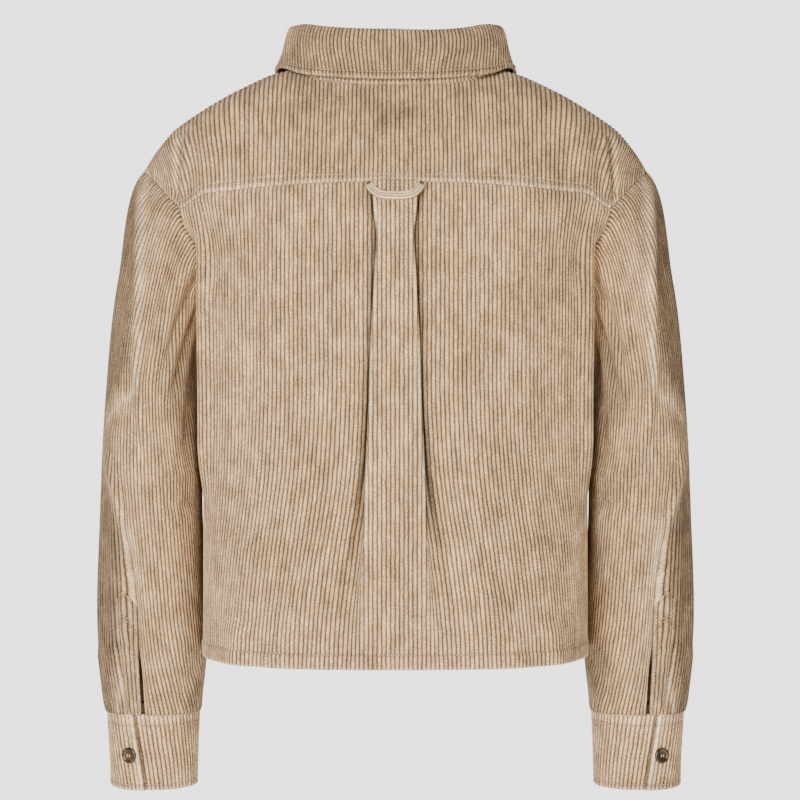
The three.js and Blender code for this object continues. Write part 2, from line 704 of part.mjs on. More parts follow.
// The left armhole, as the seam's points from under the arm up behind, over the shoulder tip and
// down in front, with the direction in which the cloth beside it ends
function armholeRing() {
  const ring = [];
  const add = (point, inside) => ring.push({ point, inside: inside.sub(point).normalize() });
  const behind = [...LOWER_COLUMNS].reverse();
  for (const along of behind) {
    const { height } = armholeBackAt(along);
    const across = along + 2 * PLEAT_DEPTH;
    add(backPoint(across, height), backPoint(across - 3, height - 4));
  }
  const tips = [YOKE_SEAM_END, ...TIP_COLUMNS];
  for (const along of tips) add(yokePoint(along, 0), yokePoint(along - 4, 0.12));
  add(yokePoint(SHOULDER_TIP, 1), yokePoint(SHOULDER_TIP - 4, 1));
  const beforeTips = TIP_COLUMNS.filter((along) => along >= FRONT_SEAM_END).reverse();
  for (const along of beforeTips) add(yokePoint(along, 2), yokePoint(along - 4, 1.8));
  const upper = TIP_COLUMNS.filter((along) => along <= FRONT_SEAM_END).reverse();
  for (const along of [...upper, YOKE_SEAM_END]) {
    add(frontUpper(along, 0), frontUpper(along - 4, 0.12));
  }
  for (const along of LOWER_COLUMNS) {
    const { height } = armholeFrontAt(along);
    add(frontLower(along, height), frontLower(along - 3, height - 4));
  }
  return ring;
}

// Sleeves

// around: 0 at the outer side, 1 and -1 at the inner side, positive behind; by length
const sleeveStore = new Map();
function sleeveSectionPoint(section, around) {
  if (!sleeveStore.has(section)) {
    const halves = [1, -1].map((side) => {
      const points = [];
      const lengths = [0];
      for (let step = 0; step <= SECTION_STEPS; step += 1) {
        const angle = (step / SECTION_STEPS) * Math.PI;
        const wide = Math.abs(Math.cos(angle) / section.halfWidth) ** SLEEVE_SQUARENESS;
        const deep = Math.abs(Math.sin(angle) / section.halfDepth) ** SLEEVE_SQUARENESS;
        const radius = (wide + deep) ** (-1 / SLEEVE_SQUARENESS);
        const offset = radius * Math.cos(angle);
        points.push(new THREE.Vector3(
          section.x + offset,
          section.y + side * radius * Math.sin(angle),
          section.z + offset * section.rise,
        ));
        if (step > 0) lengths.push(lengths[step - 1] + points[step].distanceTo(points[step - 1]));
      }
      return { points, lengths };
    });
    sleeveStore.set(section, halves);
  }
  const { points, lengths } = sleeveStore.get(section)[around >= 0 ? 0 : 1];
  const place = Math.min(Math.abs(around), 1) * lengths[SECTION_STEPS];
  let index = 0;
  while (index < SECTION_STEPS - 1 && lengths[index + 1] < place) index += 1;
  const part = (place - lengths[index]) / (lengths[index + 1] - lengths[index]);
  return points[index].clone().lerp(points[index + 1], part);
}

// The direction in which the sleeve leaves the armhole's seam
function sleeveLeaves(around) {
  const { out, back, down } = sleeveStartAt(Math.abs(around));
  return new THREE.Vector3(out, Math.sign(around) * back, -down).normalize();
}

// One point of a sleeve on the line that starts at the given point of the armhole
function sleevePoint(start, around, part) {
  const knots = [0, ...SLEEVE.map((section) => section.part)];
  const points = [start, ...SLEEVE.map((section) => sleeveSectionPoint(section, around))];
  const last = knots.length - 1;
  const { pull } = sleeveStartAt(Math.abs(around));
  points[0] = start.clone().addScaledVector(sleeveLeaves(around), SLEEVE_STUB);
  const first = sleeveLeaves(around).setLength(pull * points[1].distanceTo(start) / knots[1]);
  const pullAt = (index) => {
    if (index === 0) return first;
    const after = Math.min(index + 1, last);
    const before = Math.max(index - 1, index === last ? index - 1 : 0);
    return points[after].clone().sub(points[before]).divideScalar(knots[after] - knots[before]);
  };
  let index = 0;
  while (index < last - 1 && part > knots[index + 1]) index += 1;
  const span = knots[index + 1] - knots[index];
  return arch(
    points[index],
    pullAt(index).clone().multiplyScalar(span),
    points[index + 1],
    pullAt(index + 1).clone().multiplyScalar(span),
    (part - knots[index]) / span,
  );
}

// The armhole's points with their places around the sleeve, by length on either side of the tip
function ringPlaces(ring) {
  const lengths = [0];
  for (let index = 1; index < ring.length; index += 1) {
    lengths.push(lengths[index - 1] + ring[index].point.distanceTo(ring[index - 1].point));
  }
  const tip = LOWER_COLUMNS.length + TIP_COLUMNS.length + 1;
  const total = lengths[ring.length - 1];
  return lengths.map((length) => {
    if (length <= lengths[tip]) return 1 - length / lengths[tip];
    return -(length - lengths[tip]) / (total - lengths[tip]);
  });
}

const SLEEVE_PARTS = [0, 0.05, 0.12, 0.2, 0.3, 0.41, 0.52, 0.64, 0.75, 0.84, SLIT_FROM, 0.95, 1];

// How far a wall that leaves a seam starts from it, so that it stays clear of the wall inside
function seamClearance(leaving, inside, seam) {
  const away = leaving.clone().projectOnPlane(seam);
  const angle = away.angleTo(inside.clone().projectOnPlane(seam));
  const half = CLOTH / 2;
  const open = ARMHOLE_GAP + half * Math.sin(angle);
  const sharp = (ARMHOLE_GAP + half + half * Math.cos(angle)) / Math.sin(angle);
  return (angle > Math.PI / 2 ? open : sharp) / away.length();
}

// Near the cuff the two columns beside the slit close in on it
function slitColumns(places) {
  let left = 0;
  while (places[left + 1] > SLIT_AROUND) left += 1;
  return left;
}

function shiftedAround(places, column, part) {
  const left = slitColumns(places);
  const share = ease(0.45, 0.8, part);
  if (column === left) return mix(places[column], SLIT_AROUND + SLIT_HALF_WIDTH, share);
  if (column === left + 1) return mix(places[column], SLIT_AROUND - SLIT_HALF_WIDTH, share);
  return places[column];
}

function makeSleeve(ring, places) {
  const sheet = new Sheet();
  const left = slitColumns(places);
  const slitRow = SLEEVE_PARTS.indexOf(SLIT_FROM);
  const columns = ring.map(({ point, inside }, column) => {
    const line = SLEEVE_PARTS.map((part) => (
      sleevePoint(point, shiftedAround(places, column, part), part)));
    const before = ring[column === 0 ? ring.length - 2 : column - 1].point;
    const after = ring[column === ring.length - 1 ? 1 : column + 1].point;
    const seam = after.clone().sub(before).normalize();
    return pulledBack([point, ...line], seamClearance(sleeveLeaves(places[column]), inside, seam), SEAM_PULL);
  });
  columns[columns.length - 1] = columns[0].map((point) => point.clone());
  sheet.addGrid(columns, { skip: (c, r) => c === left && r > slitRow });
  return sheet;
}

// The pointed strip on the slit's outer side, made from the sleeve's points and moved out
function makeSleeveStrip(ring, places) {
  const sheet = new Sheet();
  const tube = (around, part) => {
    let index = 0;
    while (index < places.length - 2 && places[index + 1] > around) index += 1;
    const share = (places[index] - around) / (places[index] - places[index + 1]);
    const start = ring[index].point.clone().lerp(ring[index + 1].point, share);
    return sleevePoint(start, around, part);
  };
  const lift = CLOTH + SEAM_GAP + 0.3;
  const parts = [STRIP_FROM, 0.855, SLIT_FROM, 0.95, 0.992];
  const inner = SLIT_AROUND - 0.004;
  const across = [0, 0.25, 0.5, 0.75, 1];
  const columns = across.map((share) => parts.map((part, row) => {
    const around = inner - (share * STRIP_WIDTH) / STRIP_HALF_ROUND;
    const pointed = row === 0 ? (1 - Math.abs(share - 0.5) * 2) * (STRIP_FROM - STRIP_POINT) : 0;
    return raised(tube, around, part - pointed, 0.01, 0.004, lift);
  }));
  return sheet.addGrid(columns);
}

// Cuffs

// The cuff's band at a share of its way round, from the lap's free edge to the end under it
function cuffPoint(share, part, lift) {
  const start = CUFF_EDGE - CUFF_SLANT * (part - 0.5);
  const around = start - share * (2 + CUFF_LAP);
  const angle = around * Math.PI;
  const halfWidth = mix(CUFF.bottomHalfWidth, CUFF.topHalfWidth, part);
  const step = CUFF_LAYER_STEP * (1 - ease(0.07, 0.15, share) - ease(0.85, 0.93, share));
  const layer = step + lift;
  const x = CUFF.x + (halfWidth + layer) * Math.cos(angle);
  const y = CUFF.y + (CUFF.halfDepth + layer) * Math.sin(angle);
  return new THREE.Vector3(x, y, mix(CUFF_BOTTOM, CUFF_TOP, part));
}

function makeCuff() {
  const sheet = new Sheet();
  const columns = spread(34).map((share) => [0, 0.5, 1].map((part) => cuffPoint(share, part, 0)));
  return sheet.addGrid(columns);
}

// Collar

// The neck seam on the left side, from the centre of the back to the end of the front's overlap
function neckSeam() {
  const behind = [0, 14, 28, 42, 56, 70, 80, 90, NECK_SIDE].map((along) => toPoint(neckBackAt(along)));
  const beside = [yokeShell(NECK_SIDE, 1.5)];
  const before = [100, 92, 82, 70, 56, 40, 22, 4].map((along) => frontTop(along));
  return [...behind, ...beside, ...before];
}

function collarBase() {
  const seam = neckSeam();
  const lengths = [0];
  for (let index = 1; index < seam.length; index += 1) {
    lengths.push(lengths[index - 1] + seam[index].distanceTo(seam[index - 1]));
  }
  const total = lengths[seam.length - 1];
  return seam.map((point, index) => ({ point, around: lengths[index] / total }));
}

function standTop({ point, around }) {
  const { rise, lean } = standAt(around);
  const inward = new THREE.Vector3(-point.x, -point.y, 0).normalize();
  return point.clone().addScaledVector(UP, rise).addScaledVector(inward, lean);
}

const COLLAR_SEAM_GAP = 1.5;

function mirroredColumns(columns) {
  const other = columns.slice(1).reverse().map((column) => (
    column.map((point) => new THREE.Vector3(-point.x, point.y, point.z))));
  return [...other, ...columns];
}

function makeStand(base) {
  const columns = base.map((place) => {
    const top = standTop(place);
    const line = [0, 0.5, 1].map((part) => place.point.clone().lerp(top, part));
    return pulledBack(line, COLLAR_SEAM_GAP, 0);
  });
  return new Sheet().addGrid(mirroredColumns(columns), { flip: true });
}

const FALL_PARTS = [0.2, 0.45, 0.72, 1];

function makeFall(base) {
  const columns = base.map((place) => {
    const around = Math.min(place.around, FALL_END);
    const top = standTop(place);
    const edge = toPoint(fallEdgeAt(around));
    const outward = new THREE.Vector3(place.point.x, place.point.y, 0).normalize();
    const roll = [
      { rise: 1.6, out: 0 },
      { rise: 4.2, out: 0.9 },
      { rise: 5.6, out: 3.2 },
      { rise: 4.6, out: 5.6 },
    ].map(({ rise, out }) => top.clone().addScaledVector(UP, rise).addScaledVector(outward, out));
    const start = roll[roll.length - 1];
    const reach = start.distanceTo(edge);
    const startPull = outward.clone().multiplyScalar(0.4).setZ(-0.9).setLength(reach);
    const endPull = edge.clone().sub(start).addScaledVector(outward, 2).setLength(reach);
    return [...roll, ...FALL_PARTS.map((part) => arch(start, startPull, edge, endPull, part))];
  });
  return new Sheet().addGrid(mirroredColumns(columns), { flip: true });
}

// A line up the closing band, made from the right front's points and moved out
function bandLine(along) {
  const moved = (point, row) => {
    const hem = row < 2 ? HEM_RAISE : 0;
    return point.add(new THREE.Vector3(0, -(LAP_RAISE + CLOTH + SEAM_GAP + hem), 0));
  };
  const lower = FRONT_LOWER_PARTS.map((part, row) => (
    moved(frontLower(along, rowHeight(part, hemHeight(along), CHEST_LINE)), row)));
  const upper = FRONT_UPPER_PARTS.slice(1).map((part) => moved(frontUpper(along, part), 2));
  return [...lower, ...upper];
}

function makeBand() {
  const sheet = new Sheet();
  const columns = [-OVERLAP, 0, OVERLAP].map((along) => {
    const column = bandLine(along);
    return pulledBack(column, 0, SEAM_PULL);
  });
  return sheet.addGrid(columns).mirrored();
}

// The small loop at the yoke seam, a flat strip in the shape of a shallow U
function makeLoop() {
  const halfSpan = 23;
  const drop = 10;
  const width = 7.4;
  const columns = spread(14).map((share) => {
    const turn = share * 2 - 1;
    const x = turn * halfSpan;
    const sag = drop * (1 - turn ** 4);
    const middle = YOKE_SEAM - 3.5 - sag;
    const slope = (4 * drop * turn ** 3) / halfSpan;
    const length = Math.hypot(1, slope);
    return [-width / 2, width / 2].map((offset) => {
      const place = x - (offset * slope) / length;
      const height = middle + offset / length;
      const under = backPoint(0, Math.min(height, YOKE_SEAM)).y;
      return new THREE.Vector3(place, under + (CLOTH + DOUBLE_CLOTH) / 2 + SEAM_GAP, height);
    });
  });
  return new Sheet().addGrid(columns, { flip: true });
}

// Buttons: a dished disc with a raised rim
function makeButton(place, outward) {
  const profile = [
    [0, 0],
    [BUTTON_RADIUS - 1, 0],
    [BUTTON_RADIUS, 1.2],
    [BUTTON_RADIUS - 0.6, BUTTON_THICKNESS],
    [BUTTON_RADIUS - 2, BUTTON_THICKNESS],
    [BUTTON_RADIUS - 3, BUTTON_THICKNESS - 0.8],
    [0, BUTTON_THICKNESS - 0.8],
  ].map(([radius, height]) => new THREE.Vector2(radius, height));
  const geometry = new THREE.LatheGeometry(profile, 14);
  geometry.applyQuaternion(new THREE.Quaternion().setFromUnitVectors(new THREE.Vector3(0, 1, 0), outward));
  geometry.translate(place.x, place.y, place.z);
  return geometry;
}

// The garment

const corduroy = () => new THREE.MeshStandardMaterial({ color: 0xc1aa90, roughness: 0.92, metalness: 0 });
const horn = () => new THREE.MeshStandardMaterial({ color: 0x5b4029, roughness: 0.35, metalness: 0 });

const shacket = new THREE.Group();

function addMesh(name, geometry, material) {
  const mesh = new THREE.Mesh(geometry, material);
  mesh.name = name;
  shacket.add(mesh);
}

const addCloth = (name, sheet, thickness) => addMesh(name, sheet.toGeometry(thickness), corduroy());

addCloth('back_panel', makeBackPanel(), CLOTH);
addCloth('back_yoke', makeYoke(), CLOTH);
addCloth('front_left', makeFront(0), CLOTH);
addCloth('front_right', makeFront(LAP_RAISE).mirrored(), CLOTH);
addCloth('button_band_right', makeBand(), CLOTH);

const base = collarBase();
addCloth('collar_stand', makeStand(base), DOUBLE_CLOTH);
addCloth('collar_fall', makeFall(base), DOUBLE_CLOTH);
addCloth('hanger_loop', makeLoop(), DOUBLE_CLOTH);

const ring = armholeRing();
const places = ringPlaces(ring);
const sleeve = makeSleeve(ring, places);
const strip = makeSleeveStrip(ring, places);
const cuff = makeCuff();
addCloth('sleeve_left', sleeve, CLOTH);
addCloth('sleeve_right', sleeve.mirrored(), CLOTH);
addCloth('sleeve_placket_left', strip, CLOTH);
addCloth('sleeve_placket_right', strip.mirrored(), CLOTH);
addCloth('cuff_left', cuff, DOUBLE_CLOTH);
addCloth('cuff_right', cuff.mirrored(), DOUBLE_CLOTH);

const bandMiddle = bandLine(0);
const bandDepth = (height) => {
  const above = bandMiddle.findIndex((point) => point.z > height);
  const [low, high] = [bandMiddle[above - 1], bandMiddle[above]];
  return mix(low.y, high.y, (height - low.z) / (high.z - low.z));
};
FRONT_BUTTON_HEIGHTS.forEach((height, index) => {
  const below = bandDepth(height - BUTTON_RADIUS);
  const above = bandDepth(height + BUTTON_RADIUS);
  const bulge = Math.max((below + above) / 2 - bandDepth(height), 0);
  const outward = new THREE.Vector3(0, -2 * BUTTON_RADIUS, above - below).normalize();
  const place = new THREE.Vector3(0, (below + above) / 2, height)
    .addScaledVector(outward, bulge + CLOTH / 2 + SEAM_GAP);
  addMesh(`front_button_${index + 1}`, makeButton(place, outward), horn());
});

const cuffButtonPlace = cuffPoint(CUFF_BUTTON.share, CUFF_BUTTON.part, DOUBLE_CLOTH / 2 + SEAM_GAP);
const cuffButtonFoot = cuffPoint(CUFF_BUTTON.share, CUFF_BUTTON.part, 0);
const cuffOutward = cuffButtonPlace.clone().sub(cuffButtonFoot).normalize();
for (const [name, side] of [['cuff_button_left', 1], ['cuff_button_right', -1]]) {
  const place = cuffButtonPlace.clone();
  const outward = cuffOutward.clone();
  place.x *= side;
  outward.x *= side;
  addMesh(name, makeButton(place, outward), horn());
}

export default shacket;
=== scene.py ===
# Looks of a cropped corduroy overshirt with a collar, a shoulder yoke, a box pleat and buttoned
# cuffs, filled out as if it were worn. The shapes are worked out in millimetres, in the part's
# frame: +Z up, the front faces -Y, the wearer's left is +X. Meshes are made in metres.

import math

import bpy
import numpy as np
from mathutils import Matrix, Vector


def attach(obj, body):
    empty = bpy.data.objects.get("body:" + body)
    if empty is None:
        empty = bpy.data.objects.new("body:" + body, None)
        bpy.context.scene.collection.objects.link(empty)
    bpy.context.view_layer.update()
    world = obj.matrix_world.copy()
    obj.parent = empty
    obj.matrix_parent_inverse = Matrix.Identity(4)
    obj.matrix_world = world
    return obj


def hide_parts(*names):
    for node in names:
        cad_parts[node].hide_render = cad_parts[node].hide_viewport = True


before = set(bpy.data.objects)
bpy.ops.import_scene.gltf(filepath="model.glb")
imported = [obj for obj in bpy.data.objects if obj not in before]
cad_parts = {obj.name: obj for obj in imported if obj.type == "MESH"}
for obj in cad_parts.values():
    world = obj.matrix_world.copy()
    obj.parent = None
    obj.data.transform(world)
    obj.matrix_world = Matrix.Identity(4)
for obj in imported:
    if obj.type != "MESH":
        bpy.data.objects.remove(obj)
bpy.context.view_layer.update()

# Cloth
CLOTH = 1.6
DOUBLE_CLOTH = 2.4
WALE = 3.87
COLUMNS_PER_WALE = 4
RIDGE_PROFILE = np.array([0.0, 0.78, 1.0, 0.78])
RIDGE = 0.85
HEM_DEPTH = 13
HEM_RAISE = 0.9

# Lengths along the cloth, measured from the centre line
HALF_PANEL = 268
STRETCH_FROM = 200
YOKE_SEAM_END = 205.6
NECK_SIDE = 100
SHOULDER_TIP = 263
FRONT_SEAM_END = 250
OVERLAP = 16
# How far the yoke's wales lean beside the armhole, and where that starts
LEAN = 19
LEAN_FROM = 112
LAP_RAISE = 3

# Heights
HEM_AT_SIDE = -531
HEM_DIP = 3
UPPER_BACK = -175
YOKE_SEAM = -107.3
CHEST_LINE = -150

# Box pleat
PLEAT_DEPTH = 11
LAYER_STEP = 2.6
SEAM_SQUEEZE = 0.8

BACK = 1
FRONT = -1
UP = np.array([0.0, 0.0, 1.0])


def table(names, *rows):
    """Rows with named columns. The first column is the key that the table is read by."""
    values = np.array(rows, float)
    if values.shape[1] != len(names.split()):
        raise ValueError("a row doesn't fit its table's columns: " + names)
    return values


# Horizontal sections of the body, half a squared ellipse to the back and half to the front
BODY = table(
    "height half_width back_depth front_depth squareness",
    (-540, 176, 138, 128, 2.7),
    (-450, 176, 131, 124, 2.7),
    (-380, 176, 126, 122, 2.7),
    (-305, 177, 123, 124, 2.75),
    (-240, 178, 121, 122, 2.8),
    (-175, 178, 116, 115, 2.8),
    (-150, 178, 112, 110, 2.8),
)

# The pleat down the back: half its band's width, and how much of the fold is left
PLEAT = table(
    "height edge strength",
    (-540, 31, 0),
    (-490, 29, 0.12),
    (-430, 27, 0.45),
    (-370, 25, 0.82),
    (-300, 22.5, 1),
    (-212, 19, 1),
    (-156, 15.8, 1),
    (-125, 19, 1),
    (-107, 21, 1),
)

# The yoke's lower edge behind: the seam to the back, then the armhole up to the shoulder tip
YOKE_BACK_SEAM = table(
    "along x y z",
    (0, 0, 107, -107.3),
    (60, 60, 104, -108),
    (111, 110, 97, -110.5),
    (149, 147, 88, -113.5),
    (174, 170, 78.5, -115.5),
    (184.5, 178, 73, -119.5),
    (195.5, 186, 67.5, -124.5),
    (205.6, 193.5, 62, -127.5),
    (216, 201.5, 56, -130),
)
YOKE_BACK_ARMHOLE = table(
    "along x y z",
    (205.6, 193.5, 62, -127.5),
    (225, 205, 49, -116),
    (240, 215.5, 33, -104.5),
    (254, 226, 14, -94),
    (263, 232.6, 1, -88.5),
)

# The neck seam behind, then the shoulder line out to its tip
NECK_BACK = table(
    "along x y z",
    (0, 0, 62, -16.5),
    (40, 40, 57.5, -14.5),
    (70, 69, 43.5, -9),
    (90, 88, 25, -1),
    (100, 98, 6, 4.5),
)
SHOULDER_LINE = table(
    "along x y z",
    (100, 98, 6, 4.5),
    (125, 124, 5, -6),
    (148, 145, 4, -16.3),
    (173, 168, 2, -28.4),
    (200, 191, 0, -41.5),
    (217, 205, -2, -51),
    (233, 216, -3, -63),
    (250, 226.5, -4, -77),
    (263, 233, -5, -88),
)

# The neck seam in front, then the yoke's front seam out to the armhole
NECK_FRONT = table(
    "along x y z",
    (-16, -16, -87, -80),
    (0, 0, -88, -81),
    (30, 29, -84, -75),
    (60, 58, -69, -56),
    (85, 83, -44, -28),
    (100, 98, -18, -5),
)
YOKE_FRONT_SEAM = table(
    "along x y z",
    (100, 98, -18, -5),
    (125, 124, -21, -15),
    (150, 147, -23, -26.5),
    (175, 169, -25, -39.5),
    (200, 190, -27, -54),
    (220, 207, -28, -68),
    (238, 220.5, -25, -83),
    (250, 229, -16, -92.5),
    (263, 232.4, -11, -89.5),
)
FRONT_ARMHOLE_UPPER = table(
    "along x y z",
    (216, 187, -55, -138),
    (229, 203, -48, -122),
    (240, 217, -37, -107),
    (250, 227, -22, -96),
)

# The armholes below, as the height that each column of cloth reaches
ARMHOLE_BACK = table(
    "along height",
    (205.6, -107.3),
    (207.2, -122),
    (210, -140),
    (214, -165),
    (221, -195),
    (231, -230),
    (243, -262),
    (256, -288),
    (268, -305),
)
ARMHOLE_FRONT = table(
    "along height",
    (205.6, -150),
    (209, -172),
    (216, -200),
    (226, -230),
    (239, -262),
    (254, -289),
    (268, -305),
)

# The left sleeve's sections below the armhole, each tilted by rise for each millimetre of width
SLEEVE = table(
    "part x y z half_width half_depth rise",
    (0.24, 218.5, 2, -262, 37.5, 67, 1.85),
    (0.46, 224.5, -1, -342, 43, 67, 0.95),
    (0.7, 227.5, -12, -432, 47, 61, 0.45),
    (0.89, 229, -27, -525, 50, 50, 0.2),
    (1, 229, -39, -592, 43.5, 40.5, 0),
)
SLEEVE_SQUARENESS = 2.25
SLEEVE_STUB = 4.5
# How the sleeve leaves the armhole: around is 0 at the shoulder tip and 1 under the arm
SLEEVE_START = table(
    "around out back down pull",
    (0, 0.62, 0, 0.78, 0.7),
    (0.3, 0.8, 0.12, 0.6, 0.6),
    (0.6, 0.96, 0.1, 0.28, 0.4),
    (0.85, 0.96, 0, 0.28, 0.15),
    (1, 0.95, 0, 0.3, 0.1),
)
# How much cloth there is from the sleeve's outer line to its seam
SLEEVE_HALF_ROUND = table(
    "part length",
    (0, 250),
    (0.12, 216),
    (0.24, 192),
    (0.46, 180),
    (0.7, 171),
    (0.89, 158),
    (1, 133),
)

# The crease between the sleeve's outer face and its back
CREASE = table(
    "part around",
    (0, 0.06),
    (0.12, 0.24),
    (0.24, 0.39),
    (0.34, 0.42),
    (0.43, 0.3),
    (0.51, 0.14),
    (0.56, 0.14),
    (0.69, 0.41),
    (0.89, 0.38),
    (1, 0.24),
)

SLIT_AROUND = 0.46
SLIT_FROM = 0.89
STRIP_WIDTH = 19
STRIP_HALF_ROUND = 160
STRIP_FROM = 0.825
STRIP_POINT = 0.8
STRIP_BARS = (24, 28)

CUFF_TOP = -592.3
CUFF_BOTTOM = -663
CUFF = {"x": 229, "y": -40, "top_half_width": 42.6, "bottom_half_width": 39.6, "half_depth": 39}
CUFF_EDGE = 0.43
CUFF_SLANT = 0.083
CUFF_LAP = 0.2
CUFF_LAYER_STEP = 1.9

# Collar: how far the stand rises and leans in, and where the fall's free edge lies.
# around is 0 at the centre of the back and 1 at the centre of the front.
STAND = table(
    "around rise lean",
    (0, 45.5, 10),
    (0.3, 41, 8),
    (0.45, 34, 5),
    (0.65, 30, 5),
    (1, 29, 7),
)
FALL_EDGE = table(
    "around x y z",
    (0, 0, 72.5, -12),
    (0.16, 42, 69.5, -10.5),
    (0.32, 84, 49, -4),
    (0.44, 107.5, 14, 6.5),
    (0.53, 112, -14, -1),
    (0.64, 108, -46, -27),
    (0.8, 92, -84, -66),
    (0.97, 64, -112, -104),
)
FALL_END = 0.97
FALL_ROLL = table(
    "step rise out",
    (0, 1.6, 0),
    (1, 4.2, 0.9),
    (2, 5.6, 3.2),
    (3, 4.6, 5.6),
)

# Folds, as ridges or troughs from one place to another in a panel's own two directions
FOLD_COLUMNS = "from_across from_height to_across to_height width rise"
BACK_FOLDS = table(
    FOLD_COLUMNS,
    (190, -112, 193, -390, 13, 9),
    (40, -420, 88, -545, 15, 4),
    (120, -500, 126, -560, 18, 3),
)
YOKE_FOLDS = table(
    FOLD_COLUMNS,
    (214, 0.06, 208, 0.62, 5.5, -5.5),
    (202, 0.1, 199, 0.6, 6, 3.0),
)

# Soft folds that only the looks have. A trough has a negative rise.
BACK_SOFT_FOLDS = table(
    FOLD_COLUMNS,
    (-58, -330, -92, -470, 13, -2.2),
    (52, -300, 86, -440, 12, -2.0),
    (34, -390, 70, -545, 11, 2.2),
    (-36, -400, -78, -545, 12, 2.0),
    (96, -230, 118, -380, 16, -1.6),
    (-110, -210, -128, -360, 17, -1.4),
    (150, -200, 168, -420, 12, -1.8),
    (-156, -180, -172, -400, 12, -1.8),
    (140, -430, 150, -545, 12, 1.6),
    (-136, -420, -150, -545, 13, 1.6),
    (200, -120, 196, -200, 8, -2.0),
    (-200, -120, -196, -200, 8, -2.0),
)
YOKE_SOFT_FOLDS = table(
    FOLD_COLUMNS,
    (180, 0.02, 150, 0.8, 12, 1.6),
    (-180, 0.02, -152, 0.85, 12, 1.6),
    (100, 0.05, 84, 0.7, 20, -1.5),
    (-96, 0.05, -86, 0.7, 20, -1.4),
    (-30, 0.3, 30, 0.34, 14, -0.8),
    (0, 0.72, 0, 0.9, 60, -1.0),
)
SLEEVE_FOLDS = table(
    FOLD_COLUMNS,
    (16, 0.02, 68, 0.24, 6, 3.6),
    (68, 0.22, 88, 0.46, 6, 4.0),
    (36, 0.16, 40, 0.42, 13, -3.6),
    (74, 0.34, 44, 0.49, 7, -1.8),
    (40, 0.55, 72, 0.7, 6, 2.2),
    (72, 0.66, 70, 0.9, 6, 3.6),
    (34, 0.62, 38, 0.9, 12, -3.6),
    (84, 0.02, 80, 0.3, 6, -3.0),
    (94, 0.02, 92, 0.36, 5, 3.0),
    (104, 0.02, 103, 0.2, 4, -3.2),
    (112, 0.03, 108, 0.3, 5, 2.8),
    (121, 0.03, 116, 0.24, 4, -3.2),
    (130, 0.04, 124, 0.34, 7, 1.6),
    (140, 0.06, 136, 0.4, 7, -1.6),
    (150, 0.08, 148, 0.5, 8, 1.2),
    (-90, 0.02, -76, 0.3, 9, -3.0),
    (-112, 0.03, -98, 0.4, 9, 2.6),
    (-134, 0.08, -120, 0.5, 9, -2.6),
    (-40, 0.2, -44, 0.8, 14, 2.0),
    (150, 0.42, 96, 0.5, 10, 2.0),
    (156, 0.5, 104, 0.58, 9, -2.0),
    (-150, 0.44, -100, 0.53, 10, 2.2),
    (-154, 0.53, -96, 0.62, 10, -2.0),
    (128, 0.86, 88, 0.98, 8, 2.2),
    (150, 0.9, 118, 1.0, 8, -2.0),
    (60, 0.9, 62, 1.0, 5, -2.4),
    (16, 0.92, 10, 1.0, 7, 2.0),
    (-60, 0.9, -66, 1.0, 7, -2.0),
    (-96, 0.88, -104, 1.0, 8, 2.0),
)
FRONT_SOFT_FOLDS = table(
    FOLD_COLUMNS,
    (190, -300, 168, -520, 13, 4.0),
    (166, -280, 146, -500, 12, -2.6),
    (120, -240, 112, -530, 18, 2.4),
    (84, -260, 78, -530, 14, -2.2),
    (226, -330, 214, -520, 12, -3.0),
    (60, -200, 66, -420, 12, 1.8),
)


def ease(start, end, value):
    part = np.clip((value - start) / (end - start), 0, 1)
    return part * part * (3 - 2 * part)


def mix(a, b, part):
    return a + (b - a) * part


def hump(distance, width):
    """1 on a line, falling away on both sides of it."""
    return np.exp(-((distance / width) ** 2))


def unit(vectors):
    return vectors / np.maximum(np.linalg.norm(vectors, axis=-1, keepdims=True), 1e-9)


def length(vectors):
    return np.linalg.norm(vectors, axis=-1, keepdims=True)


def arch(start, start_pull, end, end_pull, part):
    """A cubic arch from one point to another with the given pull at each end."""
    bend = 2 * (start - end) + start_pull + end_pull
    sag = 3 * (end - start) - 2 * start_pull - end_pull
    return ((bend * part + sag) * part + start_pull) * part + start


def read(rows, value):
    """A smooth curve through every column of a table, read at any values of its key."""
    keys, values = rows[:, 0], rows[:, 1:]
    last = len(keys) - 1
    after = np.minimum(np.arange(last + 1) + 1, last)
    before = np.maximum(np.arange(last + 1) - 1, 0)
    slopes = (values[after] - values[before]) / (keys[after] - keys[before])[:, None]
    value = np.asarray(value, float)
    index = np.clip(np.searchsorted(keys, value) - 1, 0, last - 1)
    span = (keys[index + 1] - keys[index])[..., None]
    part = np.clip((value - keys[index])[..., None] / span, 0, 1)
    return arch(
        values[index], slopes[index] * span, values[index + 1], slopes[index + 1] * span, part
    )


def split(values):
    """The columns of what read() gives, each as an array of its own."""
    return np.moveaxis(values, -1, 0)


def superellipse(wide, deep, squareness, angle):
    """Points of a squared ellipse, from its end along wide towards its end along deep."""
    across = np.abs(np.cos(angle) / wide) ** squareness
    along = np.abs(np.sin(angle) / deep) ** squareness
    radius = (across + along) ** (-1 / squareness)
    return radius * np.cos(angle), radius * np.sin(angle)


def running_length(points):
    steps = np.linalg.norm(np.diff(points, axis=0), axis=1)
    return np.concatenate([[0.0], np.cumsum(steps)])


def at_lengths(places, lengths, values):
    """Rows of three values, read between those of a line at the given lengths along it."""
    return np.stack([np.interp(places, lengths, values[:, axis]) for axis in range(3)], axis=-1)


def nearest(values, place):
    return int(np.argmin(np.abs(values - place)))


SECTION_STEP = 2.5
SECTION_HEIGHTS = np.arange(-545, -145, SECTION_STEP)
SECTION_PLACES = np.linspace(0, 1, 500)


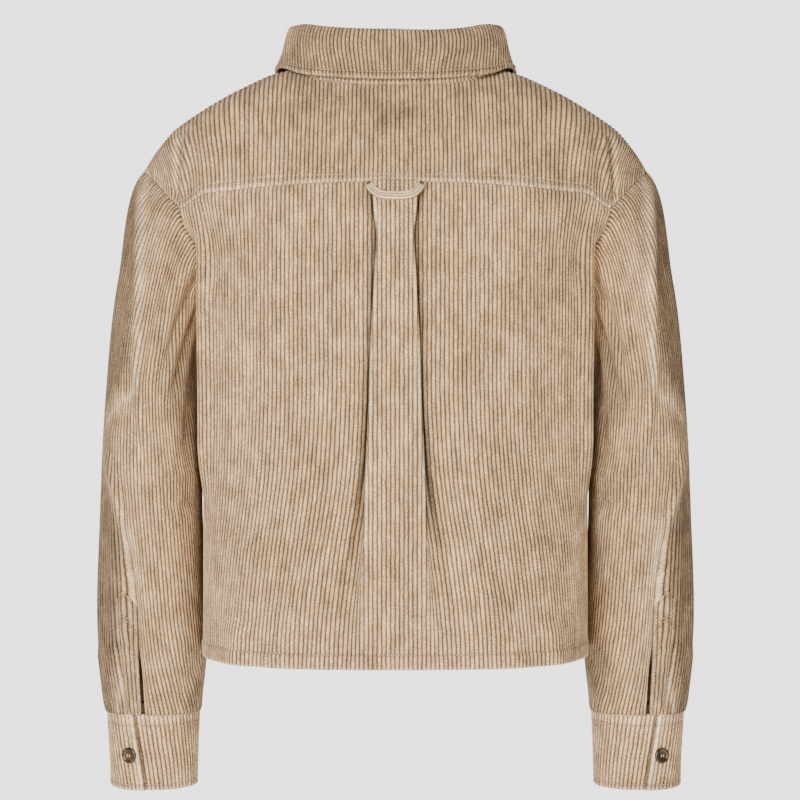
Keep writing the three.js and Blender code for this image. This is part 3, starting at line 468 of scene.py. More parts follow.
def body_sections(side):
    """Quarter sections of the body at close heights, as points at even shares of their length."""
    rows = []
    for height in SECTION_HEIGHTS:
        half_width, back_depth, front_depth, squareness = read(BODY, height)
        depth = back_depth if side == BACK else front_depth
        y, x = superellipse(depth, half_width, squareness, np.linspace(0, math.pi / 2, 361))
        lengths = running_length(np.stack([x, y], axis=1))
        places = SECTION_PLACES * lengths[-1]
        rows.append(
            np.stack(
                [
                    np.interp(places, lengths, x),
                    side * np.interp(places, lengths, y),
                    np.full(len(places), lengths[-1]),
                ],
                axis=1,
            )
        )
    return np.array(rows)


SECTIONS = {side: body_sections(side) for side in (BACK, FRONT)}


def section_point(side, along, end, height):
    """A point of the body at a length along the cloth. Past STRETCH_FROM the cloth eases to fit."""
    along, height = np.broadcast_arrays(np.asarray(along, float), height)
    store = SECTIONS[side]
    row = np.clip((height - SECTION_HEIGHTS[0]) / SECTION_STEP, 0, len(store) - 1.001)
    low = row.astype(int)
    share = (row - low)[..., None]
    total = mix(store[low, 0, 2], store[low + 1, 0, 2], row - low)
    distance = np.abs(along)
    eased = mix(STRETCH_FROM, total, (distance - STRETCH_FROM) / (end - STRETCH_FROM))
    place = np.clip(np.where(distance > STRETCH_FROM, eased, distance) / total, 0, 1)
    column = np.minimum(place * (len(SECTION_PLACES) - 1), len(SECTION_PLACES) - 1.001)
    left = column.astype(int)
    off = (column - left)[..., None]
    flat = mix(
        mix(store[low, left], store[low + 1, left], share),
        mix(store[low, left + 1], store[low + 1, left + 1], share),
        off,
    )
    return np.stack([np.sign(along) * flat[..., 0], flat[..., 1], height], axis=-1)


def fold_rise(folds, across, height, height_scale):
    """Where the sum of a table of folds lifts or sinks the cloth."""
    rise = 0
    for from_across, from_height, to_across, to_height, width, top in folds:
        run_across = to_across - from_across
        run_height = (to_height - from_height) * height_scale
        from_start = (height - from_height) * height_scale
        size = math.hypot(run_across, run_height)
        part = ((across - from_across) * run_across + from_start * run_height) / size**2
        off = ((across - from_across) * run_height - from_start * run_across) / size
        taper = ease(-0.15, 0.12, part) * (1 - ease(0.8, 1.1, part))
        rise = rise + top * taper * hump(off, width)
    return rise


def raised(surface, a, b, step_a, step_b, distance):
    """Points of a surface moved out along its normal."""
    across_way = surface(a + step_a, b) - surface(a - step_a, b)
    up_way = surface(a, b + step_b) - surface(a, b - step_b)
    return surface(a, b) + unit(np.cross(up_way, across_way)) * np.asarray(distance)[..., None]


def pleat_path(across, height):
    """The box pleat's path across the cloth: two folds on each side of the raised band."""
    edge, strength = split(read(PLEAT, height))
    radius = LAYER_STEP / 2
    flat = edge - radius
    arc = math.pi * radius
    run = PLEAT_DEPTH - arc
    inner_turn = (across - flat - arc - run) / radius
    outer_turn = (across - flat) / radius
    stages = [
        across >= flat + 2 * arc + run,
        across >= flat + arc + run,
        across >= flat + arc,
        across >= flat,
    ]
    along = np.select(
        stages,
        [
            across - 2 * PLEAT_DEPTH,
            flat - run - radius * np.sin(inner_turn),
            flat - (across - flat - arc),
            flat + radius * np.sin(outer_turn),
        ],
        across,
    )
    out = np.select(
        stages,
        [
            0 * across,
            radius + radius * np.cos(inner_turn),
            0 * across + 2 * radius,
            3 * radius + radius * np.cos(outer_turn),
        ],
        4 * radius,
    )
    place = mix(across, along, strength)
    sink = ease(YOKE_SEAM - 8, YOKE_SEAM - 60, height) * strength
    dip = LAYER_STEP * sink * (1 - ease(edge + 4, edge + 45, place))
    squeeze = mix(1, SEAM_SQUEEZE, ease(-130, YOKE_SEAM, height))
    return place, out * squeeze * (1 - (1 - strength) ** 2) - dip


def back_shell(along, end, height):
    """The back without its pleat, up to the yoke seam."""
    along, height = np.broadcast_arrays(np.asarray(along, float), height)
    span = YOKE_SEAM - UPPER_BACK
    distance = np.abs(along)
    start = section_point(BACK, distance, end, UPPER_BACK)
    below = section_point(BACK, distance, end, UPPER_BACK - 2)
    seam = read(YOKE_BACK_SEAM, distance)
    end_way = np.stack(
        [0.1 * ease(150, 205, distance), 0 * distance - 0.34, 0 * distance + 0.94], axis=-1
    )
    upper = arch(
        start,
        (start - below) * span / 2,
        seam,
        end_way * length(seam - start),
        ((height - UPPER_BACK) / span)[..., None],
    )
    upper[..., 0] *= np.sign(along)
    lower = section_point(BACK, along, end, np.minimum(height, UPPER_BACK))
    return np.where((height <= UPPER_BACK)[..., None], lower, upper)


def back_point(across, height):
    across, height = np.broadcast_arrays(np.asarray(across, float), height)
    distance = np.abs(across)
    along, out = pleat_path(distance, height)
    along = np.sign(across) * along
    end = HALF_PANEL + 2 * PLEAT_DEPTH * (1 - read(PLEAT, height)[..., 1])
    top = np.minimum(height, YOKE_SEAM - 1)
    fade = 1 - ease(UPPER_BACK, YOKE_SEAM, height) * 0.8
    folds = fold_rise(BACK_FOLDS, distance - 2 * PLEAT_DEPTH, height, 1) * fade
    soft = fold_rise(BACK_SOFT_FOLDS, across, height, 1)

    def shell(a, h):
        return back_shell(a, end, h)

    lifted = raised(shell, along, top, 1, 1, out + folds + soft)
    return lifted + shell(along, height) - shell(along, top)


def yoke_edge(along):
    behind = read(YOKE_BACK_SEAM, along)
    armhole = read(YOKE_BACK_ARMHOLE, along)
    return np.where((along <= YOKE_SEAM_END)[..., None], behind, armhole)


def yoke_shell(signed_along, part):
    """The yoke from its edge behind, 0, to the neck or shoulder line, 1, and on to its front, 2."""
    signed_along, part = np.broadcast_arrays(np.asarray(signed_along, float), part)
    along = np.abs(signed_along)
    start = yoke_edge(along)
    beside_neck = (along <= NECK_SIDE)[..., None]
    top = np.where(beside_neck, read(NECK_BACK, along), read(SHOULDER_LINE, along))
    run = top - start
    reach = length(run)
    lift = mix(0.34, 0.85, ease(60, 120, along))[..., None] * reach * UP
    over_top = unit(run - lift)
    behind = arch(start, unit(run + lift) * 1.2 * reach, top, over_top * 1.2 * reach, part[..., None])
    end = read(YOKE_FRONT_SEAM, along)
    drop = length(end - top)
    end_pull = unit(np.array([0.05, -0.8, -0.6])) * drop
    before = arch(top, over_top * drop, end, end_pull, part[..., None] - 1)
    point = np.where((part <= 1)[..., None], behind, before)
    point[..., 0] *= np.where(signed_along < 0, -1, 1)
    return point


def leaned(along, part):
    """Where a wale of the yoke lies. Beside the armhole it leans outward on its way up."""
    reach = np.abs(along)
    beside = ease(LEAN_FROM, YOKE_SEAM_END, reach) * (1 - ease(YOKE_SEAM_END, SHOULDER_TIP, reach))
    return along + np.sign(along) * LEAN * beside * ease(0, 0.7, part) * (1 - ease(1.2, 1.8, part))


def yoke_point(along, part):
    along, part = np.broadcast_arrays(np.asarray(along, float), part)
    along = leaned(along, part)
    rise = fold_rise(YOKE_FOLDS, np.abs(along), part, 120)
    rise = rise + fold_rise(YOKE_SOFT_FOLDS, along, part, 120)
    place = np.clip(part, 0.01, 0.99)
    lifted = raised(yoke_shell, along, place, 0.5, 0.005, rise)
    return lifted + yoke_shell(along, part) - yoke_shell(along, place)


def front_start(along):
    """Where the fronts' upper part begins: the chest line, then the armhole in front."""
    inner = section_point(FRONT, np.minimum(along, YOKE_SEAM_END), HALF_PANEL, CHEST_LINE)
    corner = section_point(FRONT, YOKE_SEAM_END, HALF_PANEL, CHEST_LINE)
    rows = np.vstack([[YOKE_SEAM_END, *corner], FRONT_ARMHOLE_UPPER])
    return np.where((along <= YOKE_SEAM_END)[..., None], inner, read(rows, along))


def front_upper(along, part):
    along, part = np.broadcast_arrays(np.asarray(along, float), part)
    start = front_start(along)
    beside_neck = (along <= NECK_SIDE)[..., None]
    end = np.where(beside_neck, read(NECK_FRONT, along), read(YOKE_FRONT_SEAM, along))
    reach = length(end - start)
    outward = 0.25 * ease(YOKE_SEAM_END - 30, FRONT_SEAM_END, along)
    start_pull = unit(np.stack([outward, 0 * outward + 0.1, 0 * outward + 1], axis=-1)) * reach
    backward = mix(0.35, 0.9, ease(30, 120, along))
    end_pull = unit(np.stack([0 * backward, backward, 0 * backward + 0.6], axis=-1)) * reach
    return arch(start, start_pull, end, end_pull, part[..., None])


def front_lower(along, height):
    return section_point(FRONT, along, HALF_PANEL, height)


def hem_height(along):
    return HEM_AT_SIDE - HEM_DIP * (1 - (along / (HALF_PANEL + 2 * PLEAT_DEPTH)) ** 2)


# Sleeve


def armhole_ring():
    """The left armhole from under the arm up behind, over the shoulder tip and down in front."""
    behind = np.arange(HALF_PANEL, YOKE_SEAM_END, -1.5)
    edge = np.linspace(YOKE_SEAM_END, SHOULDER_TIP, 40)
    before = np.linspace(FRONT_SEAM_END, YOKE_SEAM_END, 30)
    below = np.arange(YOKE_SEAM_END + 0.5, HALF_PANEL + 0.5, 1.5)
    parts = [
        back_point(behind + 2 * PLEAT_DEPTH, read(ARMHOLE_BACK, behind)[..., 0]),
        yoke_point(edge, 0),
        yoke_point(SHOULDER_TIP, np.linspace(0.2, 1, 4)),
        yoke_point(np.linspace(SHOULDER_TIP, FRONT_SEAM_END + 1, 8), np.full(8, 2.0)),
        front_upper(before, 0),
        front_lower(below, read(ARMHOLE_FRONT, below)[..., 0]),
    ]
    ring = np.concatenate(parts)
    lengths = running_length(ring)
    tip = len(behind) + len(edge) + 3
    upper = 1 - lengths[: tip + 1] / lengths[tip]
    lower = -(lengths[tip + 1 :] - lengths[tip]) / (lengths[-1] - lengths[tip])
    return ring, np.concatenate([upper, lower])


def sleeve_sections():
    """Each section of the sleeve as points at even shares of the way round each half."""
    stores = []
    for _, x, y, z, half_width, half_depth, rise in SLEEVE:
        offset, deep = superellipse(
            half_width, half_depth, SLEEVE_SQUARENESS, np.linspace(0, math.pi, 361)
        )
        halves = []
        for side in (FRONT, BACK):
            points = np.stack([x + offset, y + side * deep, z + offset * rise], axis=1)
            lengths = running_length(points)
            places = np.linspace(0, lengths[-1], 300)
            halves.append(at_lengths(places, lengths, points))
        stores.append(halves)
    return np.array(stores)


RING, RING_PLACES = armhole_ring()
SLEEVE_SECTIONS = sleeve_sections()


def sleeve_section_point(number, around):
    side = (around >= 0).astype(int)
    place = np.clip(np.abs(around), 0, 1) * 299
    low = np.minimum(place.astype(int), 298)
    store = SLEEVE_SECTIONS[number]
    return mix(store[side, low], store[side, low + 1], (place - low)[..., None])


def ring_point(around):
    return at_lengths(around, RING_PLACES[::-1], RING[::-1])


def sleeve_leaves(around):
    out, back, down, _ = split(read(SLEEVE_START, np.abs(around)))
    return unit(np.stack([out, np.sign(around) * back, -down], axis=-1))


def sleeve_tube(around, part):
    """The left sleeve by the place round it and the share of the way down, with no folds."""
    around, part = np.broadcast_arrays(np.asarray(around, float), part)
    knots = np.concatenate([[0], SLEEVE[:, 0]])
    start = ring_point(around)
    leaves = sleeve_leaves(around)
    sections = [sleeve_section_point(number, around) for number in range(len(SLEEVE))]
    points = np.array([start + leaves * SLEEVE_STUB, *sections])
    pull = read(SLEEVE_START, np.abs(around))[..., 3:]
    pulls = [leaves * pull * length(points[1] - start) / knots[1]]
    last = len(knots) - 1
    for index in range(1, last + 1):
        after = min(index + 1, last)
        before = index - 1
        pulls.append((points[after] - points[before]) / (knots[after] - knots[before]))
    pulls = np.array(pulls)
    index = np.clip(np.searchsorted(knots, part) - 1, 0, last - 1)
    span = (knots[index + 1] - knots[index])[..., None]

    def pick(values, which):
        return np.take_along_axis(values, which[None, ..., None], axis=0)[0]

    return arch(
        pick(points, index),
        pick(pulls, index) * span,
        pick(points, index + 1),
        pick(pulls, index + 1) * span,
        (part - knots[index])[..., None] / span,
    )


def sleeve_point(around, part):
    around, part = np.broadcast_arrays(np.asarray(around, float), part)
    rise = fold_rise(SLEEVE_FOLDS, around * 177, part, 480) * ease(0, 0.05, part)
    return raised(sleeve_tube, around, part, 0.004, 0.002, rise)


# Meshes


def wales_between(start, end):
    """Places along the cloth from one line to another, a whole number of wales apart."""
    wales = max(round(abs(end - start) / WALE), 1)
    return np.linspace(start, end, wales * COLUMNS_PER_WALE + 1)


def joined(*parts):
    return np.concatenate([parts[0], *[part[1:] for part in parts[1:]]])


def stepped(start, end, step):
    return np.linspace(start, end, max(round(abs(end - start) / step), 1) + 1)


def quads(ids):
    """Two triangles for each cell of a grid of numbers."""
    a, b, c, d = ids[:-1, :-1], ids[1:, :-1], ids[1:, 1:], ids[:-1, 1:]
    first = np.stack([a, b, c], axis=-1).reshape(-1, 3)
    second = np.stack([a, c, d], axis=-1).reshape(-1, 3)
    return np.concatenate([first, second])


def rim(outer, inner):
    """Triangles from a fine line of the outer wall to the inner wall's line of fewer points."""
    ratio = (len(outer) - 1) // (len(inner) - 1)
    triangles = []
    for step in range(len(outer) - 1):
        near = (step + ratio // 2) // ratio
        triangles.append([outer[step], outer[step + 1], inner[near]])
        after = (step + 1 + ratio // 2) // ratio
        if after != near:
            triangles.append([outer[step + 1], inner[after], inner[near]])
    return np.array(triangles)


# Added to the point numbers of a rim that lie on the inner wall
ON_INNER_WALL = 10**7


class Cloth:
    """A piece of cloth from grids of points in its middle: a ridged outer wall, a plain inner
    wall and the edge between them. Grids run across the wales first, then up or down them."""

    def __init__(self, thickness, ridge=RIDGE):
        self.thickness = thickness
        self.ridge = ridge
        self.points = []
        self.extras = []
        self.uvs = []
        self.outer = []
        self.inner = []
        self.rims = []
        self.count = 0

    def add(self, points, flip=False, across=0, rims="", raise_by=0, wear_and_highlight=0, painted_light_and_shade=0):
        """rims names the grid's free sides: f first and l last column, b first and t last row."""
        columns, rows = points.shape[:2]
        ids = self.count + np.arange(columns * rows).reshape(columns, rows)
        runs = np.linalg.norm(np.diff(points, axis=1), axis=2).cumsum(axis=1) / WALE
        along = np.concatenate([np.zeros((columns, 1)), runs], axis=1)
        wale = across + np.arange(columns)[:, None] / COLUMNS_PER_WALE + 0 * along
        relief = RIDGE_PROFILE[np.arange(columns) % COLUMNS_PER_WALE][:, None] + 0 * along
        shape = (columns, rows)
        extras = [np.broadcast_to(value, shape) for value in (raise_by, wear_and_highlight, painted_light_and_shade, relief)]
        coarse = ids[::COLUMNS_PER_WALE]
        outer, inner = quads(ids), quads(coarse)
        self.points.append(points.reshape(-1, 3))
        self.extras.append(np.stack(extras, axis=-1).reshape(-1, 4))
        self.uvs.append(np.stack([wale, along], axis=-1).reshape(-1, 2))
        sides = {
            "b": (ids[:, 0][::-1], coarse[:, 0][::-1]),
            "t": (ids[:, -1], coarse[:, -1]),
            "f": (ids[0], ids[0]),
            "l": (ids[-1][::-1], ids[-1][::-1]),
        }
        self.outer.append(outer[:, ::-1] if flip else outer)
        self.inner.append(inner if flip else inner[:, ::-1])
        for name in rims:
            self.add_rim(*sides[name], flip)
        self.count += columns * rows
        return ids

    def add_rim(self, outer, inner, flip=False):
        """Joins the two walls along a line of point numbers."""
        made = rim(outer, inner + ON_INNER_WALL)
        self.rims.append(made[:, ::-1] if flip else made)

    def walls(self):
        """Welded outer and inner points in millimetres, triangles, and each corner's UV."""
        points = np.concatenate(self.points)
        extras = np.concatenate(self.extras)
        uvs = np.concatenate(self.uvs)
        names = np.round(points * 50).astype(np.int64)
        _, first, weld = np.unique(names, axis=0, return_index=True, return_inverse=True)
        weld = weld.reshape(-1)
        middle = points[first]
        raise_by, wear_and_highlight, painted_light_and_shade, relief = extras[first].T
        count = len(middle)
        outer = np.concatenate(self.outer)
        inner = np.concatenate(self.inner)
        rims = np.concatenate(self.rims) if self.rims else np.zeros((0, 3), int)
        corners = weld[outer]
        a, b, c = middle[corners[:, 0]], middle[corners[:, 1]], middle[corners[:, 2]]
        ways = np.cross(b - a, c - a)
        normals = np.zeros((count, 3))
        for corner in range(3):
            np.add.at(normals, corners[:, corner], ways)
        normals = unit(normals)
        half = self.thickness / 2
        out = middle + normals * (half + raise_by + self.ridge * (relief - 0.5))[:, None]
        back = middle - normals * half
        rim_inner = rims >= ON_INNER_WALL
        rim_ids = np.where(rim_inner, rims - ON_INNER_WALL, rims)
        plain = np.concatenate([outer, inner, rim_ids])
        shift = np.concatenate([0 * outer, 0 * inner + count, np.where(rim_inner, count, 0)])
        triangles = weld[plain] + shift
        good = (
            (triangles[:, 0] != triangles[:, 1])
            & (triangles[:, 1] != triangles[:, 2])
            & (triangles[:, 2] != triangles[:, 0])
        )
        triangles, plain = triangles[good], plain[good]
        used, small = np.unique(triangles, return_inverse=True)
        small = small.reshape(triangles.shape)
        vertices = np.concatenate([out, back])[used]
        inside = np.concatenate([np.zeros(count), np.ones(count)])[used]
        # marks: one is real seam wear together with painted highlights, the other is painted shade and
        # painted light
        marks = {
            "wear_and_highlight": np.tile(wear_and_highlight, 2)[used],
            "painted_light_and_shade": np.tile(painted_light_and_shade, 2)[used],
            "inside": inside,
        }
        return vertices, small, uvs[plain], marks

    def build(self, name, mirrored=False):
        vertices, triangles, uvs, marks = self.walls()
        if mirrored:
            vertices = vertices * [-1, 1, 1]
            triangles, uvs = triangles[:, ::-1], uvs[:, ::-1]
        return make_mesh(name, vertices, triangles, uvs, marks)


def make_mesh(name, vertices, triangles, uvs=None, marks=None):
    """An object in the scene from points in millimetres and triangles."""
    mesh = bpy.data.meshes.new(name)
    mesh.vertices.add(len(vertices))
    mesh.vertices.foreach_set("co", (np.asarray(vertices) / 1000).astype(np.float32).ravel())
    mesh.loops.add(len(triangles) * 3)
    mesh.loops.foreach_set("vertex_index", triangles.astype(np.int32).ravel())
    mesh.polygons.add(len(triangles))
    mesh.polygons.foreach_set("loop_start", np.arange(0, len(triangles) * 3, 3, dtype=np.int32))
    mesh.polygons.foreach_set("use_smooth", np.ones(len(triangles), bool))
    mesh.update(calc_edges=True)
    if uvs is not None:
        layer = mesh.uv_layers.new(name="cloth")
        layer.data.foreach_set("uv", uvs.astype(np.float32).ravel())
    for mark, values in (marks or {}).items():
        attribute = mesh.attributes.new(mark, "FLOAT", "POINT")
        attribute.data.foreach_set("value", values.astype(np.float32))
    mesh.validate()
    made = bpy.data.objects.new(name, mesh)
    bpy.context.scene.collection.objects.link(made)
    return made


# Stitches and edges of the cloth


class Stitches:
    """Rows of short raised threads that lie on a line of points."""

    def __init__(self):
        self.vertices = []
        self.triangles = []
        self.count = 0

    def add(self, line, normals, size=2.7, gap=0.9, radius=0.34):
        lengths = running_length(line)
        rings = np.array([-1, -0.8, 0, 0.8, 1])
        widths = radius * np.array([0.15, 0.75, 1, 0.75, 0.15])
        turns = np.linspace(0, 2 * math.pi, 6)[:-1]
        for start in np.arange(gap, lengths[-1] - size, size + gap):
            places = start + size / 2 * (1 + rings)
            middle = at_lengths(places, lengths, line)
            normal = unit(at_lengths(places[2], lengths, normals))
            side = unit(np.cross(normal, middle[-1] - middle[0]))
            lift = widths[:, None] * 0.6
            ring = (
                (middle + normal * lift)[:, None]
                + widths[:, None, None] * np.cos(turns)[None, :, None] * side
                + widths[:, None, None] * np.sin(turns)[None, :, None] * normal * 0.8
            )
            grid = self.count + np.arange(25).reshape(5, 5)
            closed = np.concatenate([grid, grid[:, :1]], axis=1)
            self.vertices.append(ring.reshape(-1, 3))
            self.triangles.append(quads(closed))
            self.count += 25

    def build(self, name, mirrored=False):
        vertices = np.concatenate(self.vertices)
        triangles = np.concatenate(self.triangles)
        if mirrored:
            vertices = vertices * [-1, 1, 1]
            triangles = triangles[:, ::-1]
        return make_mesh(name, vertices, triangles)


def grid_normals(points, flip):
    across = np.gradient(points, axis=0)
    up_way = np.gradient(points, axis=1)
    return unit(np.cross(across, up_way)) * (-1 if flip else 1)


def stitch_row(stitches, points, flip, row, height):
    """A row of stitches across a grid of cloth, at the given height over its middle."""
    normals = grid_normals(points, flip)[:, row]
    stitches.add(points[:, row] + normals * height, normals)


def line_dip(distance, place, width, depth):
    """A narrow dip along a line of stitches."""
    return -depth * hump(distance - place, width)


def pucker(distance, along, wave, depth, reach):
    """Small waves that a seam's stitches draw into the cloth beside it."""
    waves = np.sin(2 * math.pi * along / wave) + 0.6 * np.sin(2 * math.pi * along / (wave * 1.63) + 1)
    return depth * waves * hump(distance, reach)


def worn_edge(distance, along, reach=1.6):
    """Where wear has lightened the cloth: along an edge, more on the puckers' tops."""
    tops = 0.65 + 0.35 * np.sin(2 * math.pi * along / 7.3)
    return tops * hump(distance, reach)


def column_runs(points):
    """Lengths up each column of a grid from its first row, and down from its last."""
    steps = np.linalg.norm(np.diff(points, axis=1), axis=2)
    start = np.zeros((len(points), 1))
    up_run = np.concatenate([start, np.cumsum(steps, axis=1)], axis=1)
    return up_run, up_run[:, -1:] - up_run


def nearest_row(run, place):
    return nearest(run[len(run) // 2], place)


pieces = {}
stitching = {}


def note(node, piece):
    """A piece that takes the place of a node."""
    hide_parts(node)
    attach(piece, "root")
    pieces[node] = piece


def note_stitches(node, piece):
    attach(piece, "root")
    stitching[node] = piece


def note_both_arms(name, cloth, rows=None):
    """The left arm's piece and its mirror image on the right, each with its stitches."""
    for side, mirrored in (("left", False), ("right", True)):
        node = f"{name}_{side}"
        note(node, cloth.build(node + "_cloth", mirrored))
        if rows:
            note_stitches(node, rows.build(node + "_stitches", mirrored))


# Back panel

HEM_STEPS = np.array([0, 0.7, 1.6, 3, 5, 7, 9, 10.8, 11.8, 12.5, 13, 13.5, 14.2, 15.4, 17, 19])
TOP_SHARES = joined(np.linspace(0, 0.93, 78), np.linspace(0.93, 1, 14))


def panel_heights(hem, top):
    """Heights of each column's points, close together at the hem and at the seam above."""
    fixed = hem[:, None] + HEM_STEPS
    rest = mix(fixed[:, -1:], top[:, None], TOP_SHARES[1:])
    return np.concatenate([fixed, rest], axis=1)


def hem_relief(run):
    """How much thicker the turned hem is, with the dip of its stitches and its soft edge."""
    turned = HEM_RAISE * (1 - ease(HEM_DEPTH - 0.3, HEM_DEPTH + 1.6, run))
    return turned + line_dip(run, HEM_DEPTH, 0.8, 0.75) - 0.5 * (1 - ease(0, 1.4, run))


def make_back():
    inner = wales_between(0, YOKE_SEAM_END + 2 * PLEAT_DEPTH)
    outer = wales_between(YOKE_SEAM_END + 2 * PLEAT_DEPTH, HALF_PANEL + 2 * PLEAT_DEPTH)
    half = joined(inner, outer)
    across = np.concatenate([-half[::-1], half[1:]])
    along = np.abs(across) - 2 * PLEAT_DEPTH
    top = np.where(along > YOKE_SEAM_END, read(ARMHOLE_BACK, along)[..., 0], YOKE_SEAM)
    heights = panel_heights(hem_height(along), top)
    points = back_point(across[:, None], heights)
    up_run, down_run = column_runs(points)
    places = across[:, None] + 0 * up_run
    ripple = 0.25 * np.sin(places / 9.5) * hump(up_run, 26)
    lift = hem_relief(up_run) + pucker(down_run, places, 8.3, 0.28, 7) + ripple
    lift = lift - 0.8 * hump(down_run, 1.8)
    wear_and_highlight = 0.75 * worn_edge(up_run, places) + 0.35 * worn_edge(down_run, places, 2.6)
    edge, strength = split(read(PLEAT, heights))
    deep = np.abs(places)
    fold_shade = strength * ease(edge - 1.5, edge + 2, deep) * (1 - ease(edge + 22, edge + 26, deep))
    beside = strength * hump(deep - edge - 25, 4.0)
    stitch_shade = 0.9 * hump(up_run - HEM_DEPTH, 0.7)
    # painted shadow along the pleat band's folded sides and in the trough beside it, and painted shade in
    # the hem's stitch dip
    painted_light_and_shade = -1.3 * fold_shade - 0.8 * beside - stitch_shade
    # painted highlight along the band's raised folded edge
    wear_and_highlight = wear_and_highlight + 0.7 * strength * hump(deep - edge + 1.3, 1.1)
    cloth = Cloth(CLOTH)
    cloth.add(points, flip=True, rims="fblt", raise_by=lift, wear_and_highlight=wear_and_highlight, painted_light_and_shade=painted_light_and_shade)
    note("back_panel", cloth.build("back_cloth"))
    rows = Stitches()
    stitch_row(rows, points, True, nearest_row(up_run, HEM_DEPTH), CLOTH / 2 + HEM_RAISE - 0.5)
    note_stitches("back_panel", rows.build("back_hem_stitches"))


# Yoke

YOKE_BACK_PARTS = joined(np.linspace(0, 0.17, 20), np.linspace(0.17, 0.96, 26), np.linspace(0.96, 1, 5))
YOKE_FRONT_PARTS = joined(np.linspace(1, 1.7, 6), np.linspace(1.7, 2, 6))
TOPSTITCH = 6.6


def make_yoke():
    half = joined(
        wales_between(0, NECK_SIDE),
        wales_between(NECK_SIDE, YOKE_SEAM_END),
        wales_between(YOKE_SEAM_END, SHOULDER_TIP),
    )
    across = np.concatenate([-half[::-1], half[1:]])
    behind = yoke_point(across[:, None], YOKE_BACK_PARTS[None])
    up_run, _ = column_runs(behind)
    places = across[:, None] + 0 * up_run
    on_seam = 1 - ease(YOKE_SEAM_END - 2, YOKE_SEAM_END + 6, np.abs(places))
    seam = 0.55 * (1 - ease(TOPSTITCH, TOPSTITCH + 2.5, up_run)) + line_dip(up_run, TOPSTITCH, 0.9, 0.55)
    lift = on_seam * seam + pucker(up_run, places, 7.9, 0.42, 6.5)
    lift = lift - 0.9 * hump(up_run, 0.9)
    wear_and_highlight = on_seam * (worn_edge(up_run, places, 2.1) + 0.3 * worn_edge(up_run - TOPSTITCH, places, 1.6))
    wear_and_highlight = wear_and_highlight + (1 - on_seam) * 0.5 * worn_edge(up_run, places, 3.0)
    # painted shade in the topstitch dip
    painted_light_and_shade = -0.5 * on_seam * hump(up_run - TOPSTITCH, 0.8)
    # painted shade where the label inside presses on the cloth
    label_shade = ease(21, 15, np.abs(places)) * ease(50, 56, up_run) * (1 - ease(80, 86, up_run))
    painted_light_and_shade = painted_light_and_shade - 0.32 * label_shade
    # painted shade in the drag crease beside the armhole, and a painted highlight on the ridge beside it
    from_drag = np.abs(leaned(places, YOKE_BACK_PARTS[None])) - mix(214, 207, YOKE_BACK_PARTS[None])
    drawn = ease(0.04, 0.12, YOKE_BACK_PARTS[None]) * (1 - ease(0.6, 0.8, YOKE_BACK_PARTS[None]))
    painted_light_and_shade = painted_light_and_shade - 0.42 * drawn * hump(from_drag, 2.6)
    wear_and_highlight = wear_and_highlight + 0.45 * drawn * hump(from_drag - 5, 2.2)
    cloth = Cloth(CLOTH)
    rim_top = np.abs(across) <= NECK_SIDE + 0.01
    ids = cloth.add(behind, flip=True, rims="bfl", raise_by=lift, wear_and_highlight=wear_and_highlight, painted_light_and_shade=painted_light_and_shade)
    columns = np.flatnonzero(rim_top)
    cloth.add_rim(ids[columns, -1], ids[columns[::COLUMNS_PER_WALE], -1], flip=True)
    shoulder = half[half >= NECK_SIDE - 0.01]
    for side in (1, -1):
        line = side * shoulder
        line = line if side > 0 else line[::-1]
        before = yoke_point(line[:, None], YOKE_FRONT_PARTS[None])
        _, down_run = column_runs(before)
        lift = 0.5 * (1 - ease(5, 8, down_run)) - 0.8 * hump(down_run, 0.9)
        worn_and_highlit = 0.8 * worn_edge(down_run, line[:, None], 2.0)
        start = np.flatnonzero(np.isclose(across, line[0]))[0] / COLUMNS_PER_WALE
        cloth.add(before, flip=True, across=start, rims="tfl", raise_by=lift, wear_and_highlight=worn_and_highlit)
    note("back_yoke", cloth.build("yoke_cloth"))
    rows = Stitches()
    seam_columns = np.flatnonzero(np.abs(across) <= YOKE_SEAM_END)
    for place in (1.7, TOPSTITCH):
        stitch_row(rows, behind[seam_columns], True, nearest_row(up_run, place), CLOTH / 2 + 0.35)
    note_stitches("back_yoke", rows.build("yoke_stitches"))


# Fronts and the closing band

UPPER_SHARES = joined(np.linspace(0, 0.9, 26), np.linspace(0.9, 1, 8))
BUTTON_PLACES = (-118, -200, -282, -364, -446, -514)


def lapped(points, along, lap):
    points = points.copy()
    points[..., 1] -= lap * (1 - ease(16, 58, along))
    return points


def front_grids(lap):
    shared = joined(
        wales_between(-OVERLAP, NECK_SIDE), wales_between(NECK_SIDE, YOKE_SEAM_END)
    )
    low_line = joined(shared, wales_between(YOKE_SEAM_END, HALF_PANEL))
    high_line = joined(shared, wales_between(YOKE_SEAM_END, FRONT_SEAM_END))
    top = np.where(low_line > YOKE_SEAM_END, read(ARMHOLE_FRONT, low_line)[..., 0], CHEST_LINE)
    heights = panel_heights(hem_height(low_line), top)
    lower = lapped(front_lower(low_line[:, None], heights), low_line[:, None], lap)
    upper = lapped(front_upper(high_line[:, None], UPPER_SHARES[None]), high_line[:, None], lap)
    drape = fold_rise(FRONT_SOFT_FOLDS, low_line[:, None], heights, 1)
    drape = drape * ease(CHEST_LINE, CHEST_LINE - 40, heights) * ease(OVERLAP, 50, low_line)[:, None]
    lower = lower + grid_normals(lower, False) * drape[..., None]
    return len(shared), low_line, lower, high_line, upper


